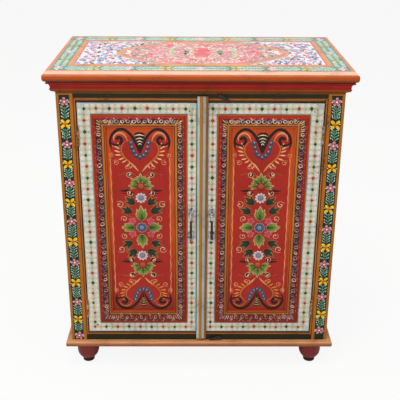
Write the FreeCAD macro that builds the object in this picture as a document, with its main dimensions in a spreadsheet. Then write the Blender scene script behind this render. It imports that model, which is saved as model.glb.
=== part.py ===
import FreeCAD, Part
import os
from types import SimpleNamespace

import Sketcher

# Floor-standing side cabinet with two framed doors. Millimetres, front towards -Y, floor at Z = 0.

SIZES = {
    # top board and the cornice under it
    "top_width": 760,
    "top_depth": 465,
    "top_thick": 18,
    "top_overhang": 26,
    "top_corner_round": 4,
    "top_upper_round": 5,
    "top_lower_round": 7,
    "cornice_height": 30,
    "cornice_reach": 18,
    "cornice_fillet": 2,
    "cornice_bead_inset": 1.5,
    "cornice_bead_height": 5,
    "cornice_bead_rise": 2.2,
    "cornice_cove_reach": 14,
    "cornice_cove_foot": 10.5,
    "cornice_cove_height": 13,
    "cornice_cove_hollow": 1.6,
    "cornice_step": 1.2,
    "cornice_toe_reach": 2,
    "cornice_toe_height": 1.5,
    "cornice_toe_rise": 2.6,
    # carcass
    "body_height": 742,
    "side_thick": 20,
    "back_thick": 12,
    "back_rebate": 10,
    "post_width": 41.5,
    "post_thick": 20,
    "post_arris": 1.5,
    "rail_top_height": 44,
    "rail_bottom_height": 16,
    "rail_tenon_length": 10,
    "rail_tenon_thick": 8,
    "bead_width": 7,
    "bead_top_height": 12,
    "bead_bottom_height": 10,
    "bead_proud": 1.5,
    "bead_crown": 2.8,
    "stop_width": 300,
    "stop_thick": 12,
    "stop_top_height": 40,
    "stop_lap": 11,
    # base board and feet
    "base_thick": 14.5,
    "base_overhang": 15,
    "base_upper_round": 6,
    "base_lower_round": 3,
    "foot_height": 65.5,
    "foot_inset_side": 55,
    "foot_inset_front": 41,
    "foot_inset_back": 45,
    "foot_pad_radius": 16,
    "foot_pad_height": 7,
    "foot_neck_radius": 14.5,
    "foot_neck_height": 2,
    "foot_bulb_radius": 30,
    "foot_bulb_height": 37,
    "foot_bulb_rise": 4.4,
    "foot_shoulder_radius": 26,
    "foot_shoulder_rise": 1,
    "foot_spigot_radius": 10,
    "foot_spigot_length": 11,
    # shelf
    "shelf_thick": 16,
    "shelf_height": 352,
    "shelf_setback": 20,
    "cleat_height": 22,
    "cleat_thick": 18,
    "cleat_length": 330,
    # doors
    "door_gap": 2,
    "door_thick": 19.5,
    "meeting_offset": 9,
    "door_rail_height": 40,
    "hinge_stile_width": 44,
    "left_meeting_width": 35,
    "right_meeting_width": 61,
    "groove_depth": 9,
    "groove_width": 6,
    "panel_play": 0.5,
    "panel_depth": 6.75,
    "panel_field_thick": 3,
    "panel_field_gap": 1,
    "panel_field_bevel": 2,
    "moulding_lap": 12,
    "moulding_width": 36,
    "moulding_edge": 2,
    "moulding_outer_bead": 4,
    "moulding_outer_rise": 1.2,
    "moulding_valley": 3,
    "moulding_roll": 12,
    "moulding_roll_rise": 3.6,
    "moulding_band": 15,
    "moulding_band_drop": 1,
    "moulding_inner_drop": 2,
    "moulding_inner_rise": 1.8,
    # astragal on the right door's meeting stile
    "astragal_width": 27,
    "astragal_thick": 5,
    "astragal_bead_start": 6,
    "astragal_bead_width": 7.5,
    "astragal_bead_rise": 3.4,
    "astragal_edge_width": 6,
    "astragal_edge_rise": 1.8,
    "astragal_top_gap": 10,
    "astragal_bottom_gap": 6.5,
    "astragal_bead_stop": 15,
    "astragal_relief": 2.5,
    # butt hinges
    "hinge_length": 50,
    "hinge_from_top": 84,
    "hinge_from_bottom": 75,
    "hinge_knuckles": 5,
    "hinge_axis_out": 3.3,
    "knuckle_radius": 3,
    "knuckle_clearance": 0.3,
    "knuckle_play": 0.1,
    "pin_radius": 1.5,
    "pin_clearance": 0.05,
    "pin_head_radius": 2.4,
    "pin_head_height": 1.2,
    "leaf_thick": 1.5,
    "leaf_let": 1,
    "leaf_reach": 17,
    "leaf_root": 1.8,
    "leaf_screw_spread": 15,
    "leaf_screw_depth": 10.5,
    "leaf_screw_radius": 1.5,
    "leaf_screw_head": 2.8,
    "leaf_screw_length": 13,
    "screw_clearance": 0.05,
    # pulls
    "pull_span": 66,
    "pull_standoff": 20,
    "pull_elbow": 12,
    "pull_bar_radius": 2.9,
    "pull_plate_length": 34,
    "pull_plate_half_width": 8,
    "pull_plate_thick": 2,
    "pull_screw_offset": 9,
    "pull_screw_radius": 1.4,
    "pull_screw_head": 2.4,
    "pull_screw_length": 14,
    "left_pull_inset": 9.5,
    "right_pull_inset": 10.5,
    # turn buttons
    "button_length": 29,
    "button_heel_radius": 5.5,
    "button_tip_radius": 2.2,
    "button_end_rise_share": 0.85,
    "button_thick": 4,
    "button_play": 0.1,
    "button_top_across": 47,
    "button_top_below": 9,
    "button_top_tilt": 28,
    "button_bottom_across": 56,
    "button_bottom_above": 10,
    "button_bottom_tilt": 168,
    "washer_radius": 4.5,
    "washer_thick": 2.5,
    "pivot_radius": 2,
    "pivot_depth": 15,
    "pivot_head_radius": 4,
    "pivot_head_height": 1.2,
    "pivot_head_rise": 1.3,
    # how far cutting solids run past what they cut
    "overrun": 5,
}

doc = FreeCAD.newDocument("SideCabinet")
sheet = doc.addObject("Spreadsheet::Sheet", "Sizes")
for number, (alias, value) in enumerate(SIZES.items(), start=1):
    sheet.set(f"A{number}", alias)
    sheet.set(f"B{number}", str(value))
    sheet.setAlias(f"B{number}", alias)
doc.recompute()


class Length:
    """A value together with the sheet expression that gives it."""

    def __init__(self, value, text):
        self.value = value
        self.text = text

    def join(self, sign, other, value):
        return Length(value, f"({self.text} {sign} {other.text})")

    def __add__(self, other):
        other = length(other)
        return self.join("+", other, self.value + other.value)

    def __sub__(self, other):
        other = length(other)
        return self.join("-", other, self.value - other.value)

    def __mul__(self, other):
        other = length(other)
        return self.join("*", other, self.value * other.value)

    def __truediv__(self, other):
        other = length(other)
        return self.join("/", other, self.value / other.value)

    def __neg__(self):
        return self * -1


def length(number):
    """Lets a plain number stand where a Length is wanted."""
    if isinstance(number, Length):
        return number
    return Length(float(number), repr(number))


s = SimpleNamespace(**{alias: Length(float(value), f"Sizes.{alias}") for alias, value in SIZES.items()})
zero = length(0)

# The planes that the pieces share
front = s.top_overhang - s.top_depth / 2
back = s.top_depth / 2
half_width = s.top_width / 2 - s.top_overhang
base_top = s.foot_height + s.base_thick
roof = base_top + s.body_height
cornice_bottom = roof - s.cornice_height
frame_back = front + s.post_thick
opening_top = roof - s.rail_top_height
opening_bottom = base_top + s.rail_bottom_height
opening_half = half_width - s.post_width
door_opening_half = opening_half - s.bead_width
door_top = opening_top - s.bead_top_height - s.door_gap
door_bottom = opening_bottom + s.bead_bottom_height + s.door_gap
door_height = door_top - door_bottom
door_hinge_edge = door_opening_half - s.door_gap
hinge_axis_x = door_opening_half - s.door_gap / 2
hinge_axis_y = front - s.hinge_axis_out
hinge_levels = {"top": door_top - s.hinge_from_top, "bottom": door_bottom + s.hinge_from_bottom}
inner_half = half_width - s.side_thick
shelf_bottom = base_top + s.shelf_height

nodes = {}


def bind(item, field, size):
    item.setExpression(field, size.text)


def place(item, x, y, z):
    bind(item, "Placement.Base.x", x)
    bind(item, "Placement.Base.y", y)
    bind(item, "Placement.Base.z", z)


def keep(name, item):
    """Registers a finished sub-part under its node name."""
    item.Label = name
    nodes[name] = item
    return item


def block(name, low, high):
    """A box between two opposite corners."""
    box = doc.addObject("Part::Box", name)
    for field, start, end in zip(("Length", "Width", "Height"), low, high):
        bind(box, field, end - start)
    place(box, *low)
    return box


AXES = {
    "x": FreeCAD.Rotation(FreeCAD.Vector(0, 1, 0), 90),
    "-x": FreeCAD.Rotation(FreeCAD.Vector(0, 1, 0), -90),
    "y": FreeCAD.Rotation(FreeCAD.Vector(1, 0, 0), -90),
    "-y": FreeCAD.Rotation(FreeCAD.Vector(1, 0, 0), 90),
    "z": FreeCAD.Rotation(),
}


def rod(name, start, axis, radius, run):
    """A cylinder that runs from start along an axis."""
    cylinder = doc.addObject("Part::Cylinder", name)
    cylinder.Placement = FreeCAD.Placement(FreeCAD.Vector(), AXES[axis])
    bind(cylinder, "Radius", radius)
    bind(cylinder, "Height", run)
    place(cylinder, *start)
    return cylinder


def cone(name, start, axis, radius, end_radius, run):
    """A cone frustum that runs from start along an axis."""
    frustum = doc.addObject("Part::Cone", name)
    frustum.Placement = FreeCAD.Placement(FreeCAD.Vector(), AXES[axis])
    bind(frustum, "Radius1", radius)
    bind(frustum, "Radius2", end_radius)
    bind(frustum, "Height", run)
    place(frustum, *start)
    return frustum


def fuse(name, pieces):
    union = doc.addObject("Part::MultiFuse", name)
    union.Shapes = pieces
    return union


def cut(name, base, tools):
    result = doc.addObject("Part::Cut", name)
    result.Base = base
    result.Tool = tools[0] if len(tools) == 1 else fuse(f"{name}_tools", tools)
    return result


def common(name, base, tool):
    result = doc.addObject("Part::Common", name)
    result.Base = base
    result.Tool = tool
    return result


def group(name, pieces):
    """Identical fasteners that share one node as separate solids."""
    compound = doc.addObject("Part::Compound", name)
    compound.Links = pieces
    return compound


def mirrored(name, source):
    """The left-hand twin of a piece built on the right."""
    twin = doc.addObject("Part::Mirroring", name)
    twin.Source = source
    twin.Normal = FreeCAD.Vector(1, 0, 0)
    return twin


def handed(name, source, side):
    """Keeps a piece that was built on the right, or its twin when the side is left."""
    if side == "left":
        return keep(name, mirrored(name, source))
    return keep(name, source)


def origin_plane(body, role):
    return next(item for item in body.Origin.OriginFeatures if item.Role == role)


def vector(corner):
    return FreeCAD.Vector(corner[0].value, corner[1].value, 0)


def arc_radius(start, end, rise):
    """Radius of the arc between two corners that stands rise away from its chord."""
    across = end[0] - start[0]
    along = end[1] - start[1]
    return (across * across + along * along) / (rise * 8) + rise / 2


def draw(body, name, role, corners, closed=True):
    """A fully constrained sketch through corners of (x, y) or (x, y, rise).

    A rise turns the way to the next corner into an arc: outwards of a counterclockwise
    outline when it is positive, inwards when it is negative.
    """
    sketch = body.newObject("Sketcher::SketchObject", name)
    sketch.AttachmentSupport = [(origin_plane(body, role), "")]
    sketch.MapMode = "FlatFace"
    count = len(corners)
    spans = count if closed else count - 1
    starts = []
    ends = []
    for index in range(spans):
        here = corners[index]
        following = corners[(index + 1) % count]
        if len(here) == 2:
            sketch.addGeometry(Part.LineSegment(vector(here), vector(following)), False)
            starts.append(1)
            ends.append(2)
            continue
        rise = here[2]
        outwards = rise.value > 0
        radius = arc_radius(here, following, rise if outwards else -rise)
        middle = (vector(here) + vector(following)) / 2
        chord = vector(following) - vector(here)
        right_hand = FreeCAD.Vector(chord.y, -chord.x, 0).normalize()
        arc = Part.Arc(vector(here), middle + right_hand * rise.value, vector(following))
        geometry = sketch.addGeometry(arc, False)
        forwards = sketch.getPoint(geometry, 1).distanceToPoint(vector(here)) < radius.value / 1000
        starts.append(1 if forwards else 2)
        ends.append(2 if forwards else 1)
        fixed = sketch.addConstraint(Sketcher.Constraint("Radius", geometry, radius.value))
        sketch.setExpression(f"Constraints[{fixed}]", radius.text)
    joints = spans if closed else spans - 1
    for index in range(joints):
        following = (index + 1) % spans
        joint = Sketcher.Constraint("Coincident", index, ends[index], following, starts[following])
        sketch.addConstraint(joint)
    for index, corner in enumerate(corners):
        span = min(index, spans - 1)
        point = starts[span] if index < spans else ends[span]
        for kind, distance in zip(("DistanceX", "DistanceY"), corner):
            fixed = sketch.addConstraint(Sketcher.Constraint(kind, span, point, distance.value))
            sketch.setExpression(f"Constraints[{fixed}]", distance.text)
    return sketch


def pad(body, name, sketch, run, back_way=False):
    feature = body.newObject("PartDesign::Pad", name)
    feature.Profile = sketch
    feature.Reversed = back_way
    bind(feature, "Length", run)
    return feature


def length_of_profile(name, role, corners, run, at):
    """A length of moulding or board: one outline, padded along its plane's axis."""
    body = doc.addObject("PartDesign::Body", name)
    pad(body, f"{name}_run", draw(body, f"{name}_outline", role, corners), run)
    place(body, *at)
    return body


def turned(name, corners, at):
    """A turned piece: half its outline, revolved about the vertical."""
    body = doc.addObject("PartDesign::Body", name)
    revolution = body.newObject("PartDesign::Revolution", f"{name}_turning")
    revolution.Profile = draw(body, f"{name}_outline", "XZ_Plane", corners)
    revolution.ReferenceAxis = (revolution.Profile[0], ["V_Axis"])
    revolution.Angle = 360
    place(body, *at)
    return body


def round_edges(body, name, radius, wanted):
    """Rounds the edges of the body's tip that the test picks."""
    doc.recompute()
    base = body.Tip
    edges = [f"Edge{number}" for number, edge in enumerate(base.Shape.Edges, 1) if wanted(edge)]
    fillet = body.newObject("PartDesign::Fillet", name)
    fillet.Base = (base, edges)
    bind(fillet, "Radius", radius)
    return fillet


def near(first, second):
    """Whether two measured places are the same, as far as a bounding box can tell."""
    tolerance = 1e-3
    return abs(first - second) < tolerance


def rounded_board(name, low, high, corner, upper, lower):
    """A board whose free edges are rounded all along the front and both sides."""
    width = high[0] - low[0]
    depth = high[1] - low[1]
    thick = high[2] - low[2]
    outline = [(zero, zero), (width, zero), (width, depth), (zero, depth)]
    body = length_of_profile(name, "XY_Plane", outline, thick, low)

    def front_upright(edge):
        box = edge.BoundBox
        return box.ZLength > thick.value / 2 and box.YMax < depth.value / 2

    def at_level(level):
        def wanted(edge):
            box = edge.BoundBox
            flat = near(box.ZMin, level) and near(box.ZMax, level)
            return flat and not near(box.YMin, depth.value)
        return wanted

    round_edges(body, f"{name}_corners", corner, front_upright)
    round_edges(body, f"{name}_upper", upper, at_level(thick.value))
    round_edges(body, f"{name}_lower", lower, at_level(0))
    return body


def top_board():
    low = (-(s.top_width / 2), -back, roof)
    high = (s.top_width / 2, back, roof + s.top_thick)
    rounds = (s.top_corner_round, s.top_upper_round, s.top_lower_round)
    keep("top_board", rounded_board("top_board", low, high, *rounds))


def cornice_outline():
    """Section of the cornice: reach towards minus, height up from its toe."""
    bead_top = s.cornice_height - s.cornice_fillet
    bead_foot = bead_top - s.cornice_bead_height
    cove_foot = bead_foot - s.cornice_cove_height
    return [
        (zero, zero),
        (zero, s.cornice_height),
        (-s.cornice_reach, s.cornice_height),
        (-s.cornice_reach, bead_top),
        (s.cornice_bead_inset - s.cornice_reach, bead_top, s.cornice_bead_rise),
        (s.cornice_bead_inset - s.cornice_reach, bead_foot),
        (-s.cornice_cove_reach, bead_foot, -s.cornice_cove_hollow),
        (-s.cornice_cove_foot, cove_foot),
        (-s.cornice_cove_foot - s.cornice_step, cove_foot, s.cornice_toe_rise),
        (-s.cornice_toe_reach, s.cornice_toe_height),
        (-s.cornice_toe_reach, zero),
    ]


def cornice():
    """Three mitred lengths: each is its section run along the wall and cut to its plan."""
    outer = half_width + s.cornice_reach + s.cornice_bead_rise
    reach = outer - half_width
    corners = cornice_outline()
    at = (-outer, front, cornice_bottom)
    run = length_of_profile("cornice_front_run", "YZ_Plane", corners, outer * 2, at)
    plan = [
        (-half_width - reach, front - reach),
        (half_width + reach, front - reach),
        (half_width, front),
        (-half_width, front),
    ]
    level = (zero, zero, cornice_bottom)
    prism = length_of_profile("cornice_front_plan", "XY_Plane", plan, s.cornice_height, level)
    keep("cornice_front", common("cornice_front", run, prism))

    side_run = back - front + reach
    at = (-half_width, back, cornice_bottom)
    run = length_of_profile("cornice_side_run", "XZ_Plane", corners, side_run, at)
    plan = [
        (-half_width - reach, front - reach),
        (-half_width, front),
        (-half_width, back),
        (-half_width - reach, back),
    ]
    prism = length_of_profile("cornice_side_plan", "XY_Plane", plan, s.cornice_height, level)
    left = keep("cornice_left", common("cornice_left", run, prism))
    keep("cornice_right", mirrored("cornice_right", left))


def sides_and_back():
    rebate_x = half_width - s.side_thick + s.back_rebate
    rebate_y = back - s.back_thick
    outline = [
        (inner_half, frame_back),
        (half_width, frame_back),
        (half_width, back),
        (rebate_x, back),
        (rebate_x, rebate_y),
        (inner_half, rebate_y),
    ]
    side = length_of_profile("side_right", "XY_Plane", outline, s.body_height, (zero, zero, base_top))
    keep("side_right", side)
    keep("side_left", mirrored("side_left", side))
    keep("back_panel", block("back_panel", (-rebate_x, rebate_y, base_top), (rebate_x, back, roof)))


def frame_screw_places():
    """Height of each hinge screw on the carcass side."""
    for level in hinge_levels.values():
        yield level - s.leaf_screw_spread
        yield level + s.leaf_screw_spread


def screw_bore(name, start, axis, run):
    return rod(name, start, axis, s.leaf_screw_radius + s.screw_clearance, run)


def posts():
    arris = s.post_arris
    outline = [
        (opening_half, front),
        (half_width - arris, front),
        (half_width, front + arris),
        (half_width, frame_back),
        (opening_half, frame_back),
    ]
    blank = length_of_profile("post_blank", "XY_Plane", outline, s.body_height, (zero, zero, base_top))
    slot_low = front + s.post_thick / 2 - s.rail_tenon_thick / 2
    slot_high = slot_low + s.rail_tenon_thick
    slot_end = opening_half + s.rail_tenon_length
    slot_mouth = opening_half - s.overrun
    cutters = [
        block(name, (slot_mouth, slot_low, low), (slot_end, slot_high, high))
        for name, low, high in (
            ("post_slot_top", opening_top, roof + s.overrun),
            ("post_slot_bottom", base_top - s.overrun, opening_bottom),
        )
    ]
    for number, level in enumerate(frame_screw_places()):
        start = (opening_half - s.overrun, front + s.leaf_screw_depth, level)
        tip = door_opening_half + s.leaf_let + s.leaf_screw_length
        cutters.append(screw_bore(f"post_bore_{number}", start, "x", tip - start[0]))
    post = keep("post_right", cut("post_right", blank, cutters))
    keep("post_left", mirrored("post_left", post))


def rails():
    """The carcass rails: a stub tenon at each end for the post's slot, and a bore for a turn button."""
    spans = {"top": (opening_top, roof), "bottom": (base_top, opening_bottom)}
    tenon_front = front + s.post_thick / 2 - s.rail_tenon_thick / 2
    tenon_back = tenon_front + s.rail_tenon_thick
    end = opening_half + s.rail_tenon_length
    for place_name, across, level, _ in button_places():
        name = f"rail_{place_name}"
        low, high = spans[place_name]
        core = block(f"{name}_core", (-opening_half, front, low), (opening_half, frame_back, high))
        tenons = block(f"{name}_tenons", (-end, tenon_front, low), (end, tenon_back, high))
        start = (across, front - s.overrun, level)
        run = s.overrun + s.pivot_depth
        bore = rod(f"{name}_bore", start, "y", s.pivot_radius + s.screw_clearance, run)
        keep(name, cut(name, fuse(f"{name}_blank", [core, tenons]), [bore]))


def half_round(width, depth):
    """Section of a bead: width by depth, its front crowned, standing towards -Y."""
    shoulder = s.bead_crown - s.bead_proud
    return [(zero, shoulder, s.bead_crown), (width, shoulder), (width, depth), (zero, depth)]


def beads():
    """The lining of the door opening, and the seats that its hinges need."""
    run = opening_top - opening_bottom
    at = (door_opening_half, front, opening_bottom)
    blank = length_of_profile("bead_blank", "XY_Plane", half_round(s.bead_width, s.post_thick), run, at)
    cutters = []
    for place_name, level in hinge_levels.items():
        low = level - s.hinge_length / 2
        high = level + s.hinge_length / 2
        seat_low = (door_opening_half - s.overrun, front - s.overrun, low)
        seat_high = (door_opening_half + s.leaf_let, front + s.leaf_reach, high)
        cutters.append(block(f"bead_seat_{place_name}", seat_low, seat_high))
        notch_end = s.pin_head_height + s.knuckle_clearance
        cutters.append(rod(
            f"bead_notch_{place_name}",
            (hinge_axis_x, hinge_axis_y, low - notch_end),
            "z",
            s.knuckle_radius + s.knuckle_clearance,
            s.hinge_length + notch_end * 2,
        ))
    for number, level in enumerate(frame_screw_places()):
        start = (door_opening_half - s.overrun, front + s.leaf_screw_depth, level)
        cutters.append(screw_bore(f"bead_bore_{number}", start, "x", s.overrun * 2 + s.bead_width))
    bead = keep("bead_right", cut("bead_right", blank, cutters))
    keep("bead_left", mirrored("bead_left", bead))

    shoulder = s.bead_crown - s.bead_proud
    for name, low, height in (
        ("bead_top", opening_top - s.bead_top_height, s.bead_top_height),
        ("bead_bottom", opening_bottom, s.bead_bottom_height),
    ):
        outline = [
            (shoulder, zero),
            (s.post_thick, zero),
            (s.post_thick, height),
            (shoulder, height, s.bead_crown),
        ]
        at = (-door_opening_half, front, low)
        keep(name, length_of_profile(name, "YZ_Plane", outline, door_opening_half * 2, at))


def door_stops():
    """Battens behind the rails that the closed doors stop against."""
    half = s.stop_width / 2
    stop_back = frame_back + s.stop_thick
    top_low = door_top - s.stop_lap
    for name, low, high in (
        ("door_stop_top", top_low, top_low + s.stop_top_height),
        ("door_stop_bottom", base_top, door_bottom + s.stop_lap),
    ):
        keep(name, block(name, (-half, frame_back, low), (half, stop_back, high)))


def foot_places():
    across = half_width + s.base_overhang - s.foot_inset_side
    yield "front", across, front - s.base_overhang + s.foot_inset_front
    yield "back", across, back - s.foot_inset_back


def base_board():
    edge = half_width + s.base_overhang
    low = (-edge, front - s.base_overhang, s.foot_height)
    high = (edge, back, base_top)
    rounds = (s.base_lower_round, s.base_upper_round, s.base_lower_round)
    board = rounded_board("base_blank", low, high, *rounds)
    sockets = []
    for place_name, across, along in foot_places():
        for side, x in (("right", across), ("left", -across)):
            sockets.append(rod(
                f"socket_{place_name}_{side}",
                (x, along, s.foot_height - s.overrun),
                "z",
                s.foot_spigot_radius + s.screw_clearance,
                s.overrun + s.foot_spigot_length + s.panel_play,
            ))
    keep("base_board", cut("base_board", board, sockets))


def feet():
    neck_foot = s.foot_pad_height + s.foot_neck_height
    spigot_top = s.foot_height + s.foot_spigot_length
    outline = [
        (zero, zero),
        (s.foot_pad_radius, zero),
        (s.foot_pad_radius, s.foot_pad_height),
        (s.foot_neck_radius, s.foot_pad_height),
        (s.foot_neck_radius, neck_foot, s.foot_bulb_rise),
        (s.foot_bulb_radius, s.foot_bulb_height, s.foot_shoulder_rise),
        (s.foot_shoulder_radius, s.foot_height),
        (s.foot_spigot_radius, s.foot_height),
        (s.foot_spigot_radius, spigot_top),
        (zero, spigot_top),
    ]
    for place_name, across, along in foot_places():
        for side, x in (("right", across), ("left", -across)):
            name = f"foot_{place_name}_{side}"
            keep(name, turned(name, outline, (x, along, zero)))


def shelf_and_cleats():
    shelf_front = frame_back + s.stop_thick + s.shelf_setback
    back_face = back - s.back_thick
    side = inner_half - s.panel_play
    high = (side, back_face, shelf_bottom + s.shelf_thick)
    keep("shelf", block("shelf", (-side, shelf_front, shelf_bottom), high))
    low = (inner_half - s.cleat_thick, back_face - s.cleat_length, shelf_bottom - s.cleat_height)
    high = (inner_half, back_face, shelf_bottom)
    cleat = keep("shelf_cleat_right", block("shelf_cleat_right", low, high))
    keep("shelf_cleat_left", mirrored("shelf_cleat_left", cleat))


def knuckle_spans(level):
    """Low end and length of each knuckle, from the bottom up."""
    count = int(s.hinge_knuckles.value)
    pitch = s.hinge_length / s.hinge_knuckles
    bottom = level - s.hinge_length / 2
    for number in range(count):
        yield number, bottom + pitch * number + s.knuckle_play, pitch - s.knuckle_play * 2


def hinge_leaf(name, level, inner_x, outer_x, own):
    """One leaf: a plate, its own knuckles round the pin, and room for the other leaf's knuckles."""
    low = level - s.hinge_length / 2
    high = level + s.hinge_length / 2
    plate_low = (inner_x, hinge_axis_y + s.leaf_root, low)
    plate = block(f"{name}_plate", plate_low, (outer_x, front + s.leaf_reach, high))
    knuckles = []
    rooms = []
    for number, start, run in knuckle_spans(level):
        if number % 2 == own:
            at = (hinge_axis_x, hinge_axis_y, start)
            knuckles.append(rod(f"{name}_knuckle_{number}", at, "z", s.knuckle_radius, run))
        else:
            at = (hinge_axis_x, hinge_axis_y, start - s.knuckle_play * 2)
            radius = s.knuckle_radius + s.knuckle_clearance
            rooms.append(rod(f"{name}_room_{number}", at, "z", radius, run + s.knuckle_play * 4))
    notched = cut(f"{name}_notched", plate, rooms)
    whole = fuse(f"{name}_whole", [notched] + knuckles)
    bore_low = (hinge_axis_x, hinge_axis_y, low - s.overrun)
    bore_radius = s.pin_radius + s.pin_clearance
    bore = rod(f"{name}_bore", bore_low, "z", bore_radius, s.hinge_length + s.overrun * 2)
    return whole, bore


def leaf_screw(name, x, axis, level):
    """A countersunk wood screw whose head lies flush with the leaf."""
    at = (x, front + s.leaf_screw_depth, level)
    head = cone(f"{name}_head", at, axis, s.leaf_screw_head, s.leaf_screw_radius, s.leaf_thick)
    shank = rod(f"{name}_shank", at, axis, s.leaf_screw_radius, s.leaf_screw_length)
    return fuse(name, [head, shank])


def leaf_sink(name, x, axis, level):
    """The countersunk hole that the screw's head sits in."""
    at = (x, front + s.leaf_screw_depth, level)
    play = s.screw_clearance
    return cone(name, at, axis, s.leaf_screw_head + play, s.leaf_screw_radius + play, s.leaf_thick)


def frame_hinges():
    """The carcass half of the four hinges: leaves, screws and pins."""
    face = door_opening_half + s.leaf_let - s.leaf_thick
    screws = []
    pins = []
    for place_name, level in hinge_levels.items():
        name = f"hinge_frame_leaf_right_{place_name}"
        whole, bore = hinge_leaf(name, level, face, face + s.leaf_thick, 0)
        holes = [bore]
        for number, step in enumerate((-s.leaf_screw_spread, s.leaf_screw_spread)):
            holes.append(leaf_sink(f"{name}_sink_{number}", face, "x", level + step))
            screws.append(leaf_screw(f"frame_screw_{place_name}_{number}", face, "x", level + step))
        leaf = keep(name, cut(name, whole, holes))
        keep(f"hinge_frame_leaf_left_{place_name}", mirrored(f"hinge_frame_leaf_left_{place_name}", leaf))
        pins.append(hinge_pin(f"pin_{place_name}", level))
    for name, pieces in (("frame_leaf_screws", screws), ("hinge_pins", pins)):
        twins = [mirrored(f"{piece.Name}_left", piece) for piece in pieces]
        keep(name, group(name, pieces + twins))


def hinge_pin(name, level):
    """A loose pin with a flat head at each end."""
    low = level - s.hinge_length / 2
    at = (hinge_axis_x, hinge_axis_y, low)
    shank = rod(f"{name}_shank", at, "z", s.pin_radius, s.hinge_length)
    head_low = (hinge_axis_x, hinge_axis_y, low - s.pin_head_height)
    foot = rod(f"{name}_foot", head_low, "z", s.pin_head_radius, s.pin_head_height)
    head_high = (hinge_axis_x, hinge_axis_y, low + s.hinge_length)
    head = rod(f"{name}_head", head_high, "z", s.pin_head_radius, s.pin_head_height)
    return fuse(name, [shank, foot, head])


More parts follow.
